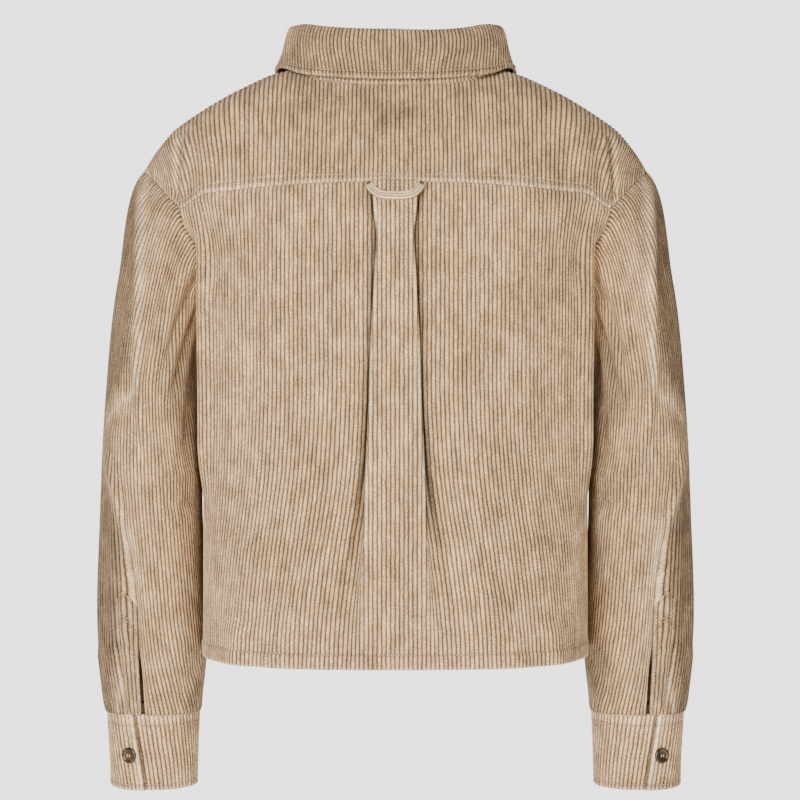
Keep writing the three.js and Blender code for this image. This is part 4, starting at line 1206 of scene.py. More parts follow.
def make_front(name, lap, mirrored):
    shared, low_line, lower, high_line, upper = front_grids(lap)
    up_run, down_run = column_runs(lower)
    lift = hem_relief(up_run)
    wear_and_highlight = 0.75 * worn_edge(up_run, low_line[:, None])
    # painted shade in the hem's stitch dip
    painted_light_and_shade = -0.9 * hump(up_run - HEM_DEPTH, 0.7)
    cloth = Cloth(CLOTH)
    ids = cloth.add(lower, rims="bfl", raise_by=lift, wear_and_highlight=wear_and_highlight, painted_light_and_shade=painted_light_and_shade)
    cloth.add_rim(ids[shared - 1 :, -1], ids[shared - 1 :: COLUMNS_PER_WALE, -1])
    _, high_run = column_runs(upper)
    places = high_line[:, None] + 0 * high_run
    lift = pucker(high_run, places, 8.1, 0.35, 6) - 0.7 * hump(high_run, 1.6)
    ids = cloth.add(upper, rims="tfl", raise_by=lift, wear_and_highlight=0.4 * worn_edge(high_run, places))
    cloth.add_rim(ids[shared - 1 :, 0][::-1], ids[shared - 1 :: COLUMNS_PER_WALE, 0][::-1])
    note(name, cloth.build(name + "_cloth", mirrored))
    rows = Stitches()
    stitch_row(rows, lower, False, nearest_row(up_run, HEM_DEPTH), CLOTH / 2 + HEM_RAISE - 0.5)
    note_stitches(name, rows.build(name + "_hem_stitches", mirrored))


def band_grid(along):
    """The closing band over the right front, as if it were on the left."""
    hem = np.full(len(along), float(hem_height(0)))
    heights = panel_heights(hem, np.full(len(along), float(CHEST_LINE)))
    lower = front_lower(along[:, None], heights)
    upper = front_upper(along[:, None], UPPER_SHARES[None])
    lower[..., 1] -= HEM_RAISE * (1 - ease(HEM_DEPTH, HEM_DEPTH + 3, heights - hem[:, None]))
    points = np.concatenate([lower, upper[:, 1:]], axis=1)
    points[..., 1] -= LAP_RAISE + CLOTH + 0.3
    return points


def make_band():
    line = wales_between(-OVERLAP, OVERLAP)
    points = band_grid(line)
    up_run, _ = column_runs(points)
    side = np.minimum(line + OVERLAP, OVERLAP - line)[:, None] + 0 * up_run
    lift = line_dip(side, 5, 0.9, 0.5) - 0.5 * (1 - ease(0, 1.3, side)) - 0.4 * (1 - ease(0, 1.2, up_run))
    wear_and_highlight = 0.7 * worn_edge(side, up_run)
    cloth = Cloth(CLOTH)
    cloth.add(points, rims="fblt", raise_by=lift, wear_and_highlight=wear_and_highlight)
    note("button_band_right", cloth.build("band_cloth", True))
    rows = Stitches()
    normals = grid_normals(points, False)
    for place in (-OVERLAP + 5, OVERLAP - 5):
        column = nearest(line, place)
        rows.add(points[column] + normals[column] * (CLOTH / 2 + 0.1), normals[column])
    for height in BUTTON_PLACES:
        column = len(line) // 2
        near = np.abs(points[column, :, 2] - height) < 13
        for shift in (-1, 1):
            edge = points[column][near] + [1.1 * shift, 0, 0] + normals[column][near] * (CLOTH / 2 + 0.3)
            rows.add(edge, normals[column][near], size=1.2, gap=0.15, radius=0.5)
    note_stitches("button_band_right", rows.build("band_stitches", True))


# Sleeves, their slits and strips

SLEEVE_PARTS = joined(
    np.linspace(0, 0.05, 8), np.linspace(0.05, 0.86, 76),
    np.linspace(0.86, 0.985, 16), np.linspace(0.985, 1, 5)
)


def sleeve_shade(around, part, crease):
    """Painted shade on the outer face that turns from the light, on the side next to the body and under
    the arm.
    """
    outer_face = ease(-0.28, -0.14, around) * (1 - ease(-0.1, 0.0, around - crease))
    next_to_body = ease(0.6, 0.86, np.abs(around))
    under_arm = ease(0.42, 0.7, around) * ease(0.02, 0.1, part) * (1 - ease(0.26, 0.42, part))
    outward = ease(-0.28, -0.14, around) * (1 - ease(0.16, 0.4, around)) * ease(0.1, 0.4, part)
    outer_face = np.maximum(0.92 * outer_face, 0.6 * outward)
    return -outer_face - 0.6 * next_to_body - 0.45 * under_arm


def sleeve_crease_highlight(around, crease):
    """A painted highlight on the crease between the sleeve's outer face and its back."""
    return 0.5 * hump(around - crease - 0.015, 0.02)


def make_sleeves():
    half = wales_between(0, SLEEVE_HALF_ROUND[0, 1])
    line = np.concatenate([half[::-1], -half[1:]])
    half_round = read(SLEEVE_HALF_ROUND, SLEEVE_PARTS)[..., 0]
    around = np.clip(line[:, None] / half_round, -1, 1)
    part = SLEEVE_PARTS[None] + 0 * around
    slit = nearest(around[:, -1], SLIT_AROUND)
    slit -= slit % COLUMNS_PER_WALE
    opened = ease(0.5, 0.86, SLEEVE_PARTS)
    beside = np.exp(-np.abs(np.arange(len(line)) - slit) / 14.0)
    drift = (SLIT_AROUND - around[slit]) * opened
    around = np.clip(around + beside[:, None] * drift, -1, 1)
    around[0], around[-1] = 1, -1
    tube = sleeve_point(around, part)
    ends = ring_point(around[:, :1])
    points = np.concatenate([ends, tube], axis=1)
    beyond = np.abs(np.concatenate([around[:, :1], around], axis=1)) > 0.9999
    under_seam = (points[0] + points[-1]) / 2
    points = np.where(beyond[..., None], under_seam, points)
    points[:, -1, 2] -= 0.9
    gape = ease(SLIT_FROM, SLIT_FROM + 0.05, np.concatenate([[0], SLEEVE_PARTS])) * 1.6
    left, right = points[: slit + 1].copy(), points[slit:].copy()
    sideways = unit(points[slit + 1] - points[slit - 1])
    near = hump(slit - np.arange(slit + 1), 5.0)[:, None, None]
    left = left - near * (gape[:, None] * sideways)[None]
    far = hump(np.arange(len(line) - slit), 5.0)[:, None, None]
    right = right + far * (gape[:, None] * sideways)[None]
    cloth = Cloth(CLOTH)
    with_ends = np.concatenate([around[:, :1], around], axis=1)
    columns_around = (with_ends[: slit + 1], with_ends[slit:])
    parts_down = np.concatenate([[0], SLEEVE_PARTS])
    crease = read(CREASE, parts_down)[..., 0]
    slit_row = int(np.searchsorted(SLEEVE_PARTS, SLIT_FROM)) + 1
    start = 0
    for number, grid in enumerate((left, right)):
        up_run, down_run = column_runs(grid)
        runs = np.arange(len(grid))[:, None] * WALE / COLUMNS_PER_WALE + 0 * up_run
        lift = pucker(up_run, runs, 9.1, 0.5, 9) - 0.5 * hump(up_run, 2.5)
        lift = lift + pucker(down_run, runs, 8.4, 0.45, 12) * ease(0, 2, down_run)
        # painted shade along the armhole seam and the cuff seam, then the painted shade of the outer face
        # and under the arm
        painted_light_and_shade = -0.35 * hump(up_run, 4) - 0.25 * hump(down_run, 2)
        painted_light_and_shade = painted_light_and_shade + sleeve_shade(columns_around[number], parts_down, crease)
        worn_and_highlit = sleeve_crease_highlight(columns_around[number], crease)
        ids = cloth.add(grid, across=start, rims="bt", raise_by=lift, wear_and_highlight=worn_and_highlit, painted_light_and_shade=painted_light_and_shade)
        edge = ids[-1] if number == 0 else ids[0]
        edge = edge[slit_row:] if number else edge[slit_row:][::-1]
        cloth.add_rim(edge, edge)
        start += (len(grid) - 1) / COLUMNS_PER_WALE
    note_both_arms("sleeve", cloth)


def make_strips():
    across = wales_between(0, STRIP_WIDTH)
    parts = np.linspace(STRIP_FROM, 0.995, 44)
    share = across / STRIP_WIDTH
    around = SLIT_AROUND - 0.006 - across[:, None] / STRIP_HALF_ROUND + 0 * parts[None]
    pointed = (1 - np.abs(share - 0.5) * 2) * (STRIP_FROM - STRIP_POINT)
    near_top = 1 - ease(0, 8, np.arange(len(parts)))
    part = parts[None] - pointed[:, None] * near_top[None]

    points = raised(sleeve_point, around, part, 0.01, 0.004, np.full(part.shape, CLOTH + 0.75))
    up_run, _ = column_runs(points)
    side = np.minimum(across, STRIP_WIDTH - across)[:, None] + 0 * up_run
    rim_side = np.minimum(side, up_run * 0.9)
    lift = line_dip(rim_side, 2.4, 0.7, 0.45) - 0.6 * (1 - ease(0, 1.2, rim_side))
    wave = 0.3 * np.sin(up_run / 3.1 + across[:, None] / 5)
    bars = sum(hump(up_run - place, 0.8) for place in STRIP_BARS)
    wear_and_highlight = 1.0 * worn_edge(rim_side, up_run, 1.5) + 0.05
    cloth = Cloth(CLOTH, RIDGE * 0.8)
    # the strip a little darker overall, with painted shade in the bar tacks' dips and along its stitch
    # lines
    cloth.add(
        points,
        rims="fblt",
        raise_by=lift + wave - 0.4 * bars,
        wear_and_highlight=wear_and_highlight,
        painted_light_and_shade=-0.3 - 1.0 * bars - 0.45 * hump(rim_side - 2.4, 0.7),
    )
    rows = Stitches()
    normals = grid_normals(points, False)
    for place in (2.4, STRIP_WIDTH - 2.4):
        column = nearest(across, place)
        rows.add(points[column] + normals[column] * (CLOTH / 2 + 0.05), normals[column])
    for place in STRIP_BARS:
        stitch_row(rows, points, False, nearest_row(up_run, place), CLOTH / 2)
    note_both_arms("sleeve_placket", cloth, rows)


# Cuffs

CUFF_ROWS = np.array([0, 0.7, 1.6, 3, 5, 7, 9, 10.5, 12])
CUFF_BUTTON = {"share": 0.03, "part": 0.46}


def cuff_point(share, part, lift):
    """The cuff's band at a share of its way round, from the lap's free edge to the end under it."""
    start = CUFF_EDGE - CUFF_SLANT * (part - 0.5)
    around = start - share * (2 + CUFF_LAP)
    angle = around * math.pi
    half_width = mix(CUFF["bottom_half_width"], CUFF["top_half_width"], part)
    step = CUFF_LAYER_STEP * (1 - ease(0.07, 0.15, share) - ease(0.85, 0.93, share))
    layer = step + lift
    x = CUFF["x"] + (half_width + layer) * np.cos(angle)
    y = CUFF["y"] + (CUFF["half_depth"] + layer) * np.sin(angle)
    return np.stack([x, y, mix(CUFF_BOTTOM, CUFF_TOP, part) + 0 * x], axis=-1)


def make_cuffs():
    tall = CUFF_TOP - CUFF_BOTTOM
    middle = stepped(CUFF_ROWS[-1], tall - CUFF_ROWS[-1], 3.4)
    heights = np.concatenate([CUFF_ROWS, middle[1:-1], (tall - CUFF_ROWS)[::-1]])
    round_length = 2.2 * math.pi * 40
    share = wales_between(0, round_length) / round_length
    part = heights[None] / tall + 0 * share[:, None]
    points = cuff_point(share[:, None] + 0 * part, part, 0.0)
    run = np.minimum(share, 1 - share)[:, None] * round_length + 0 * part
    low, high = heights[None] + 0 * part, tall - heights[None] + 0 * part
    edge = np.minimum(np.minimum(low, high), run)
    around_run = share[:, None] * round_length
    dips = line_dip(low, 5.2, 0.8, 0.5) + line_dip(high, 1.8, 0.7, 0.4) + line_dip(high, 10.2, 0.8, 0.55)
    lift = dips + pucker(low, around_run, 8.7, 0.3, 9) - 0.6 * (1 - ease(0, 1.4, edge))
    lift = lift + 0.9 * np.sin(around_run / 17 + high / 30) * ease(0, 20, low) * 0.6
    free_edge = share[:, None] * round_length + 0 * part
    lift = lift + 1.0 * hump(free_edge - 2.6, 2.0) - 0.5 * hump(free_edge - 6.2, 1.0)
    under_lap = (share[:, None] - 2 / (2 + CUFF_LAP)) * round_length + 0 * part
    wear_and_highlight = 0.85 * worn_edge(edge, around_run + low) + 0.3 * hump(high - 5, 3)
    # painted highlight on the lap's raised lip
    wear_and_highlight = wear_and_highlight + 0.5 * hump(free_edge - 2.6, 2.4)
    # painted shade in the stitch dips
    painted_light_and_shade = -0.7 * hump(low - 5.2, 0.7) - 0.8 * hump(high - 10.2, 0.7)
    # painted light making the whole cuff lighter, and a painted shadow under the lap's step
    painted_light_and_shade = painted_light_and_shade + 0.25 - 1.5 * hump(under_lap + 0.6, 1.3)
    cloth = Cloth(DOUBLE_CLOTH)
    cloth.add(points, flip=True, rims="fblt", raise_by=lift, wear_and_highlight=wear_and_highlight, painted_light_and_shade=painted_light_and_shade)
    rows = Stitches()
    normals = grid_normals(points, True)
    for place in (5.2, tall - 10.2, tall - 1.8):
        row = nearest(heights, place)
        line = points[:, row] + normals[:, row] * (DOUBLE_CLOTH / 2 - 0.1)
        rows.add(line, normals[:, row])
    note_both_arms("cuff", cloth, rows)


# Collar


def collar_base():
    """The neck seam from the centre of the back to the centre of the front, at close places."""
    behind = read(NECK_BACK, np.linspace(0, NECK_SIDE, 120))
    beside = yoke_shell(NECK_SIDE, np.linspace(1, 2, 20))
    before = read(NECK_FRONT, np.linspace(NECK_SIDE, 4, 110))
    seam = np.concatenate([behind, beside[1:], before[1:]])
    lengths = running_length(seam)
    places = wales_between(0, lengths[-1])
    return at_lengths(places, lengths, seam), places / lengths[-1]


def stand_top(base, around):
    rise, lean = split(read(STAND, around))
    inward = unit(base * [-1, -1, 0])
    return base + UP * rise[:, None] + inward * lean[:, None]


def both_sides(columns):
    return np.concatenate([columns[:0:-1] * [-1, 1, 1], columns])


def make_stand():
    base, around = collar_base()
    top = stand_top(base, around)
    shares = np.linspace(0.02, 1, 18)
    points = both_sides(mix(base[:, None], top[:, None], shares[None, :, None]))
    up_run, _ = column_runs(points)
    along = np.arange(len(points))[:, None] * WALE / COLUMNS_PER_WALE + 0 * up_run
    lift = pucker(up_run, along, 7.1, 0.3, 5) - 0.5 * (1 - ease(0, 1.5, up_run))
    cloth = Cloth(DOUBLE_CLOTH)
    cloth.add(points, flip=True, rims="fblt", raise_by=lift, wear_and_highlight=0.6 * worn_edge(up_run, along))
    note("collar_stand", cloth.build("stand_cloth"))


FALL_SHARES = joined(np.linspace(0.06, 0.8, 15), np.linspace(0.8, 1, 12))
FALL_STITCH = 6.0


def make_fall():
    base, around = collar_base()
    top = stand_top(base, around)
    outward = unit(base * [1, 1, 0])
    steps = read(FALL_ROLL, np.linspace(0, 3, 9))
    roll = top[:, None] + UP * steps[None, :, :1] + outward[:, None] * steps[None, :, 1:]
    start = roll[:, -1]
    edge = read(FALL_EDGE, np.minimum(around, FALL_END))
    reach = length(edge - start)
    start_pull = unit(outward * 0.4 - UP * 0.9) * reach
    end_pull = unit(edge - start + outward * 2) * reach
    shares = FALL_SHARES[None, :, None]
    fall = arch(
        start[:, None], start_pull[:, None], edge[:, None], end_pull[:, None], shares
    )
    points = both_sides(np.concatenate([roll, fall], axis=1))
    _, down_run = column_runs(points)
    along = (np.arange(len(points)) - len(points) // 2)[:, None] * WALE / COLUMNS_PER_WALE
    along = along + 0 * down_run
    ends = np.minimum(np.arange(len(points)), np.arange(len(points))[::-1])[:, None]
    side = np.minimum(down_run, ends * WALE / COLUMNS_PER_WALE)
    lift = line_dip(side, FALL_STITCH, 0.9, 0.6) + pucker(down_run, along, 9.4, 0.3, 8)
    lift = lift + 0.7 * hump(side - 3, 2.2) - 0.7 * (1 - ease(0, 1.4, side))
    lift = lift + 0.6 * np.sin(along / 31) * ease(4, 30, down_run)
    wear_and_highlight = 0.8 * worn_edge(side, along)
    # painted shade: the whole fall darker where it tips from the light, and in its stitch dip
    painted_light_and_shade = -0.4 - 0.8 * hump(side - FALL_STITCH, 0.75)
    cloth = Cloth(DOUBLE_CLOTH)
    cloth.add(points, rims="fblt", raise_by=lift, wear_and_highlight=wear_and_highlight, painted_light_and_shade=painted_light_and_shade)
    note("collar_fall", cloth.build("collar_cloth"))
    rows = Stitches()
    stitch_row(rows, points, False, nearest_row(down_run, FALL_STITCH), DOUBLE_CLOTH / 2 - 0.1)
    note_stitches("collar_fall", rows.build("collar_stitches"))


# The loop at the yoke seam


def make_loop():
    half_span, drop, width = 23, 10, 7.4
    turn = np.linspace(-1, 1, 73)
    x = turn * half_span
    middle = YOKE_SEAM - 3.5 - drop * (1 - turn**4)
    slope = 4 * drop * turn**3 / half_span
    size = np.hypot(1, slope)
    offset = np.linspace(-0.5, 0.5, 13) * width
    place = x[:, None] - offset[None] * (slope / size)[:, None]
    height = middle[:, None] + offset[None] / size[:, None]
    under = back_point(0 * height, np.minimum(height, YOKE_SEAM))[..., 1]
    tucked = 1.5 * ease(0.82, 1, np.abs(turn))[:, None]
    y = under + (CLOTH + DOUBLE_CLOTH) / 2 + 0.5 - tucked
    points = np.stack([place, y, height], axis=-1)
    side = (width / 2 - np.abs(offset))[None] + 0 * y
    run = np.arange(len(turn))[:, None] * 0.8 + 0 * y
    lift = 0.5 * hump(side - 1.4, 1.1) - 0.7 * (1 - ease(0, 1.0, side))
    lift = lift + 0.18 * np.sin(run / 1.3)
    # painted highlight over the whole loop and on its raised rims, with some real edge wear
    worn_and_highlit = 0.5 + 0.4 * hump(side - 1.4, 0.9) + 0.2 * worn_edge(side, run, 1.0)
    cloth = Cloth(DOUBLE_CLOTH, 0)
    cloth.add(points.transpose(1, 0, 2), rims="fblt", raise_by=lift.T, wear_and_highlight=worn_and_highlit.T)
    note("hanger_loop", cloth.build("loop_cloth"))


# Buttons

BUTTON_RADIUS = 7.5
BUTTON_THICKNESS = 3
HOLE_PLACE = 1.55
HOLE_RADIUS = 0.72


def button_frame(outward):
    side = unit(np.cross(outward, [0.0, 0.0, 1.0]))
    return side, np.cross(side, outward), outward


def make_button(name, node, place, outward):
    """A dished disc with a raised rim and four holes, and the thread through them."""
    side, upward, outward = button_frame(unit(np.asarray(outward, float)))
    radius = np.concatenate([np.linspace(0.0, 3.2, 17), np.linspace(3.5, BUTTON_RADIUS, 15)])
    angle = np.linspace(0, 2 * math.pi, 73)
    height = np.interp(
        radius, [0, 4.4, 5.2, 6.2, 7.1, 7.5], [2.0, 2.25, 2.85, 3.0, 2.6, 1.4]
    )[None] + 0 * angle[:, None]
    across = radius[None] * np.cos(angle)[:, None]
    upto = radius[None] * np.sin(angle)[:, None]
    for turn in range(4):
        hole = (turn + 0.5) * math.pi / 2
        far = np.hypot(across - HOLE_PLACE * math.cos(hole), upto - HOLE_PLACE * math.sin(hole))
        height = height - 1.7 * (1 - ease(HOLE_RADIUS * 0.7, HOLE_RADIUS * 1.15, far))
    foot = np.array([[BUTTON_RADIUS - 0.5, 0.3], [BUTTON_RADIUS - 1.5, 0.0], [0.0, 0.0]])
    for foot_radius, foot_height in foot:
        ring = np.full((len(angle), 1), foot_height)
        height = np.concatenate([height, ring], axis=1)
        across = np.concatenate([across, foot_radius * np.cos(angle)[:, None]], axis=1)
        upto = np.concatenate([upto, foot_radius * np.sin(angle)[:, None]], axis=1)
    points = place + (
        across[..., None] * side + upto[..., None] * upward + height[..., None] * outward
    )
    ids = np.arange(points.shape[0] * points.shape[1]).reshape(points.shape[:2])
    note(node, make_mesh(name, points.reshape(-1, 3), quads(ids)[:, ::-1]))
    threads = Stitches()
    for shift in (-1, 1):
        for lane in (-0.25, 0.25):
            start = place + side * (shift * 1.1 + lane) - upward * 1.5 + outward * 1.9
            end = start + upward * 3.0
            line = np.linspace(start, end, 9)
            line = line + outward * (0.5 * np.sin(np.linspace(0, math.pi, 9)))[:, None]
            threads.add(line, np.tile(outward, (9, 1)), size=2.8, gap=0.1, radius=0.3)
    note_stitches(node, threads.build(name + "_thread"))


def make_buttons():
    middle = band_grid(np.array([0.0, 1.0]))[0]
    for index, height in enumerate(BUTTON_PLACES):
        below = np.interp(height - BUTTON_RADIUS, middle[:, 2], middle[:, 1])
        above = np.interp(height + BUTTON_RADIUS, middle[:, 2], middle[:, 1])
        here = np.interp(height, middle[:, 2], middle[:, 1])
        outward = unit(np.array([0, -2 * BUTTON_RADIUS, above - below]))
        bulge = max((below + above) / 2 - here, 0) + CLOTH / 2 + 0.55
        place = np.array([0, (below + above) / 2, height]) + outward * bulge
        node = f"front_button_{index + 1}"
        make_button("horn_" + node, node, place, outward)
    foot = cuff_point(np.array(CUFF_BUTTON["share"]), np.array(CUFF_BUTTON["part"]), 0.0)
    over = cuff_point(
        np.array(CUFF_BUTTON["share"]), np.array(CUFF_BUTTON["part"]), DOUBLE_CLOTH / 2 + 0.6
    )
    for side, shift in (("left", 1), ("right", -1)):
        flipped = np.array([shift, 1, 1])
        make_button(f"horn_cuff_{side}", f"cuff_button_{side}", over * flipped, (over - foot) * flipped)


# Materials


class Nodes:
    """A short way to write a node tree: each call adds a node and joins its inputs."""

    def __init__(self, name):
        self.material = bpy.data.materials.new(name)
        self.material.use_nodes = True
        self.tree = self.material.node_tree
        self.tree.nodes.clear()

    def add(self, kind, inputs=None, **settings):
        node = self.tree.nodes.new(kind)
        for setting, value in settings.items():
            setattr(node, setting, value)
        for socket, value in (inputs or {}).items():
            if isinstance(value, bpy.types.NodeSocket):
                self.tree.links.new(value, node.inputs[socket])
            else:
                node.inputs[socket].default_value = value
        return node

    def math(self, operation, a, b=0.0, c=0.0):
        return self.add("ShaderNodeMath", {0: a, 1: b, 2: c}, operation=operation).outputs[0]

    def smooth(self, value, start, end, low=0.0, high=1.0):
        inputs = {"Value": value, "From Min": start, "From Max": end, "To Min": low, "To Max": high}
        return self.add("ShaderNodeMapRange", inputs, interpolation_type="SMOOTHSTEP").outputs[0]

    def noise(self, place, scale, detail=3.0, roughness=0.55):
        inputs = {"Vector": place, "Scale": scale, "Detail": detail, "Roughness": roughness}
        return self.add("ShaderNodeTexNoise", inputs).outputs[0]

    def blend(self, share, a, b, mode="MIX"):
        node = self.add("ShaderNodeMix", data_type="RGBA", blend_type=mode, clamp_factor=True)
        for socket, value in ((node.inputs[0], share), (node.inputs[6], a), (node.inputs[7], b)):
            if isinstance(value, bpy.types.NodeSocket):
                self.tree.links.new(value, socket)
            else:
                socket.default_value = value
        return node.outputs[2]

    def mark(self, name):
        return self.add("ShaderNodeAttribute", attribute_name=name).outputs["Fac"]

    def finish(self, surface):
        self.add("ShaderNodeOutputMaterial", {"Surface": surface})
        return self.material


# Colours of the cloth, as linear light. The ridge side and groove colours are painted shade; the washed
# colour is real fading and also painted highlight.
RIDGE_TOP = (0.560, 0.350, 0.175, 1)
# painted shade on the wales' flanks, also the colour of darker streaks of pile
DARK_PILE_AND_SIDE_SHADE = (0.300, 0.172, 0.080, 1)
# painted shade deep in the grooves between the wales
SHADED_GROOVE = (0.055, 0.029, 0.014, 1)
# lighter fading and seam wear, and painted highlights on raised folds, creases and edges
WASHED_AND_HIGHLIGHT = (0.900, 0.680, 0.430, 1)
PLAIN_BACK = (0.450, 0.285, 0.165, 1)
THREAD = (0.520, 0.340, 0.200, 1)
FADED_THREAD = (0.720, 0.520, 0.340, 1)
HORN_DARK = (0.020, 0.011, 0.006, 1)
HORN_LIGHT = (0.110, 0.056, 0.022, 1)


def corduroy_material(name):
    n = Nodes(name)
    cloth = n.add("ShaderNodeUVMap", uv_map="cloth").outputs[0]
    place = n.add("ShaderNodeTexCoord").outputs["Object"]
    parts = n.add("ShaderNodeSeparateXYZ", {0: cloth})
    wale, run = parts.outputs[0], parts.outputs[1]
    outside = n.math("SUBTRACT", 1.0, n.mark("inside"))
    worn_and_highlit = n.mark("wear_and_highlight")
    painted_light_and_shade = n.mark("painted_light_and_shade")

    stretched = n.add("ShaderNodeCombineXYZ", {0: n.math("MULTIPLY", wale, 0.8), 1: run}).outputs[0]
    waver = n.math("SUBTRACT", n.noise(stretched, 0.22, 2.0), 0.5)
    shifted = n.math("ADD", wale, n.math("MULTIPLY", waver, 0.3))
    phase = n.math("FRACT", shifted)
    off_top = n.math("ABSOLUTE", n.math("SUBTRACT", n.math("MULTIPLY", phase, 2.0), 1.0))
    along_wale = n.add(
        "ShaderNodeCombineXYZ",
        {0: n.math("MULTIPLY", n.math("FLOOR", shifted), 7.31), 1: n.math("MULTIPLY", run, 0.16)},
    ).outputs[0]
    wale_tone = n.noise(along_wale, 1.0, 3.0, 0.6)
    streaks = n.add(
        "ShaderNodeCombineXYZ", {0: n.math("MULTIPLY", wale, 3.0), 1: n.math("MULTIPLY", run, 0.55)}
    ).outputs[0]
    pile = n.noise(streaks, 1.6, 4.0, 0.62)
    speckle = n.noise(stretched, 2.6, 2.0, 0.5)
    cloudy = n.noise(place, 17.0, 4.0, 0.6)
    patchy = n.noise(place, 52.0, 3.0, 0.55)

    width = n.math("ADD", 0.70, n.math("MULTIPLY", n.math("SUBTRACT", wale_tone, 0.5), 0.5))
    # painted shade: each wale's flanks darker than its top, and its groove darkest
    side_shade_share = n.smooth(off_top, n.math("SUBTRACT", width, 0.5), width)
    groove_shade = n.smooth(off_top, n.math("SUBTRACT", width, 0.06), 0.98)
    side_shade_share = n.math("MULTIPLY", side_shade_share, outside)
    groove_shade = n.math("MULTIPLY", groove_shade, outside)
    colour = n.blend(side_shade_share, RIDGE_TOP, DARK_PILE_AND_SIDE_SHADE)
    colour = n.blend(n.math("MULTIPLY", n.smooth(pile, 0.45, 0.7), 0.6), colour, DARK_PILE_AND_SIDE_SHADE)
    washed = n.math("MULTIPLY", n.smooth(speckle, 0.46, 0.66), n.math("SUBTRACT", 1.0, off_top))
    colour = n.blend(n.math("MULTIPLY", washed, 0.9), colour, WASHED_AND_HIGHLIGHT)
    colour = n.blend(groove_shade, colour, SHADED_GROOVE)
    colour = n.blend(n.math("SUBTRACT", 1.0, outside), colour, PLAIN_BACK)
    # lighter along worn seams and edges, and painted highlights on raised folds, creases and the cuff's
    # lip
    light_edge = n.math("MULTIPLY", worn_and_highlit, n.smooth(speckle, 0.35, 0.55, 0.35, 1.0))
    light_edge = n.math("MULTIPLY", light_edge, n.math("MULTIPLY_ADD", groove_shade, -0.8, 1.0))
    colour = n.blend(n.math("MULTIPLY", light_edge, 0.9), colour, WASHED_AND_HIGHLIGHT)
    shade = n.smooth(cloudy, 0.3, 0.7, 0.87, 1.12)
    shade = n.math("MULTIPLY", shade, n.smooth(patchy, 0.32, 0.68, 0.88, 1.11))
    shade = n.math("MULTIPLY", shade, n.smooth(wale_tone, 0.3, 0.7, 0.78, 1.18))
    # painted light and shade from the cloth's mark, on top of the real mottling
    shade = n.math("MULTIPLY", shade, n.math("MAXIMUM", n.math("MULTIPLY_ADD", painted_light_and_shade, 0.6, 1.0), 0.12))
    grey = n.add("ShaderNodeCombineColor", {0: shade, 1: shade, 2: shade}).outputs[0]
    colour = n.blend(1.0, colour, grey, "MULTIPLY")

    weave = n.add("ShaderNodeTexWave", {"Vector": stretched, "Scale": 5.0, "Distortion": 1.5}).outputs[1]
    height = n.math("MULTIPLY_ADD", pile, 0.6, n.math("MULTIPLY", weave, 0.12))
    height = n.math("MULTIPLY_ADD", off_top, -0.5, height)
    height = n.math("MULTIPLY_ADD", speckle, 0.35, height)
    bump = n.add("ShaderNodeBump", {"Height": height, "Strength": 0.5, "Distance": 0.0006})
    roughness = n.smooth(pile, 0.3, 0.8, 0.82, 0.95)
    surface = n.add(
        "ShaderNodeBsdfPrincipled",
        {
            "Base Color": colour,
            "Roughness": roughness,
            "Normal": bump.outputs[0],
            "Specular IOR Level": 0.12,
            "Sheen Weight": 0.12,
            "Sheen Roughness": 0.5,
            "Sheen Tint": (1.0, 0.9, 0.78, 1),
        },
    )
    return n.finish(surface.outputs[0])


def thread_material():
    n = Nodes("thread")
    place = n.add("ShaderNodeTexCoord").outputs["Object"]
    mottle = n.noise(place, 220.0, 3.0)
    colour = n.blend(n.smooth(mottle, 0.35, 0.7), THREAD, FADED_THREAD)
    twist = n.add("ShaderNodeTexWave", {"Vector": place, "Scale": 900.0, "Distortion": 2.0}).outputs[1]
    bump = n.add("ShaderNodeBump", {"Height": twist, "Strength": 0.35, "Distance": 0.0001})
    surface = n.add(
        "ShaderNodeBsdfPrincipled",
        {
            "Base Color": colour,
            "Roughness": n.smooth(mottle, 0.3, 0.7, 0.6, 0.8),
            "Normal": bump.outputs[0],
            "Sheen Weight": 0.1,
        },
    )
    return n.finish(surface.outputs[0])


def horn_material():
    n = Nodes("horn")
    place = n.add("ShaderNodeTexCoord").outputs["Object"]
    clouds = n.noise(place, 150.0, 4.0, 0.6)
    drawn_out = n.add("ShaderNodeMapping", {"Vector": place, "Scale": (1, 1, 3.5)}).outputs[0]
    veins = n.noise(drawn_out, 260.0, 3.0)
    share = n.math("MULTIPLY", n.smooth(clouds, 0.42, 0.66), n.smooth(veins, 0.3, 0.6, 0.35, 1.0))
    colour = n.blend(share, HORN_DARK, HORN_LIGHT)
    bump = n.add("ShaderNodeBump", {"Height": veins, "Strength": 0.05, "Distance": 0.0002})
    surface = n.add(
        "ShaderNodeBsdfPrincipled",
        {
            "Base Color": colour,
            "Roughness": n.smooth(veins, 0.3, 0.7, 0.22, 0.36),
            "Normal": bump.outputs[0],
            "Coat Weight": 0.2,
            "Coat Roughness": 0.12,
        },
    )
    return n.finish(surface.outputs[0])


# The garment

make_back()
make_yoke()
make_front("front_left", 0, False)
make_front("front_right", LAP_RAISE, True)
make_band()
make_sleeves()
make_strips()
make_cuffs()
make_stand()
make_fall()
make_loop()
make_buttons()

corduroy = corduroy_material("corduroy")
thread = thread_material()
horn = horn_material()
for name, piece in pieces.items():
    piece.data.materials.append(horn if "_button_" in name else corduroy)
for piece in stitching.values():
    piece.data.materials.append(thread)

# Camera, floor and light

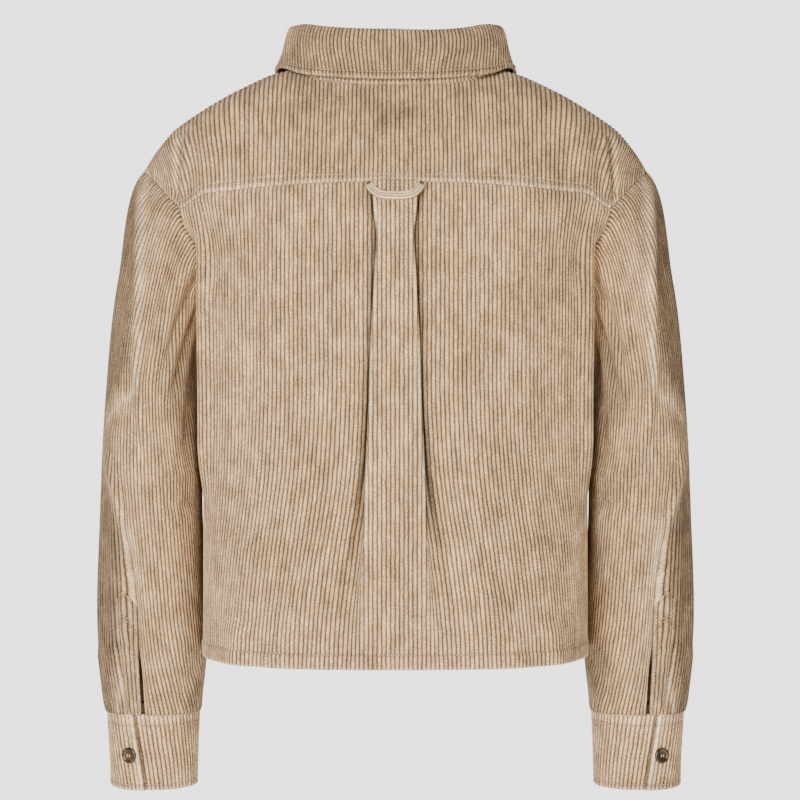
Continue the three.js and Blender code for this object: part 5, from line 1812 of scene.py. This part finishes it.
AMBIENT = 0.22
BACKDROP = 2.7
GARMENT = (0, 0, -0.3)
CAMERA_PLACE = (-0.0042, 2.0, -0.3)
CAMERA_LENS = 96.8
SENSOR_WIDTH = 36
FLOOR_HALF = 2.8
FLOOR_LEVEL = -1.3
FLOOR_COLOURS = ((0.88, 0.88, 0.88, 1), (0.91, 0.91, 0.91, 1))
LIGHT_DISTANCE = 2.5
LIGHT_SIZE = (0.8, 0.7)
# Each light's place across and up, and its power, on both sides of the garment
LIGHTS = [(0.9, 0.1, 94), (-0.6, -0.5, 42)]


def add_camera():
    data = bpy.data.cameras.new("camera")
    data.lens = CAMERA_LENS
    data.sensor_width = SENSOR_WIDTH
    camera = bpy.data.objects.new("camera", data)
    camera.location = CAMERA_PLACE
    camera.rotation_euler = (math.pi / 2, 0, math.pi)
    bpy.context.scene.collection.objects.link(camera)
    bpy.context.scene.camera = camera


def add_light(name, place, power):
    data = bpy.data.lights.new(name, "AREA")
    data.shape = "RECTANGLE"
    data.size, data.size_y = LIGHT_SIZE
    data.energy = power
    light = bpy.data.objects.new(name, data)
    light.location = place
    way = Vector(GARMENT) - Vector(place)
    light.rotation_euler = way.to_track_quat("-Z", "Y").to_euler()
    bpy.context.scene.collection.objects.link(light)


def add_surroundings():
    floor_mesh = bpy.data.meshes.new("floor")
    sides = ((-1, -1), (1, -1), (1, 1), (-1, 1))
    corners = [(x * FLOOR_HALF, y * FLOOR_HALF, FLOOR_LEVEL) for x, y in sides]
    floor_mesh.from_pydata(corners, [], [(0, 1, 2, 3)])
    floor = bpy.data.objects.new("floor", floor_mesh)
    bpy.context.scene.collection.objects.link(floor)
    n = Nodes("floor")
    place = n.add("ShaderNodeTexCoord").outputs["Object"]
    grain = n.noise(place, 30.0, 4.0)
    colour = n.blend(grain, *FLOOR_COLOURS)
    surface = n.add("ShaderNodeBsdfPrincipled", {"Base Color": colour, "Roughness": 0.9})
    floor_mesh.materials.append(n.finish(surface.outputs[0]))
    world = bpy.data.worlds.new("studio")
    bpy.context.scene.world = world
    world.use_nodes = True
    background = world.node_tree.nodes["Background"]
    background.inputs["Color"].default_value = (1, 1, 1, 1)
    seen = world.node_tree.nodes.new("ShaderNodeLightPath").outputs["Is Camera Ray"]
    strength = world.node_tree.nodes.new("ShaderNodeMapRange")
    strength.inputs["To Min"].default_value = AMBIENT
    strength.inputs["To Max"].default_value = BACKDROP
    world.node_tree.links.new(seen, strength.inputs["Value"])
    world.node_tree.links.new(strength.outputs[0], background.inputs["Strength"])


add_camera()
add_surroundings()
for side in (1, -1):
    for number, (x, z, power) in enumerate(LIGHTS):
        add_light(f"light_{side}_{number}", (x, side * LIGHT_DISTANCE, z), power)
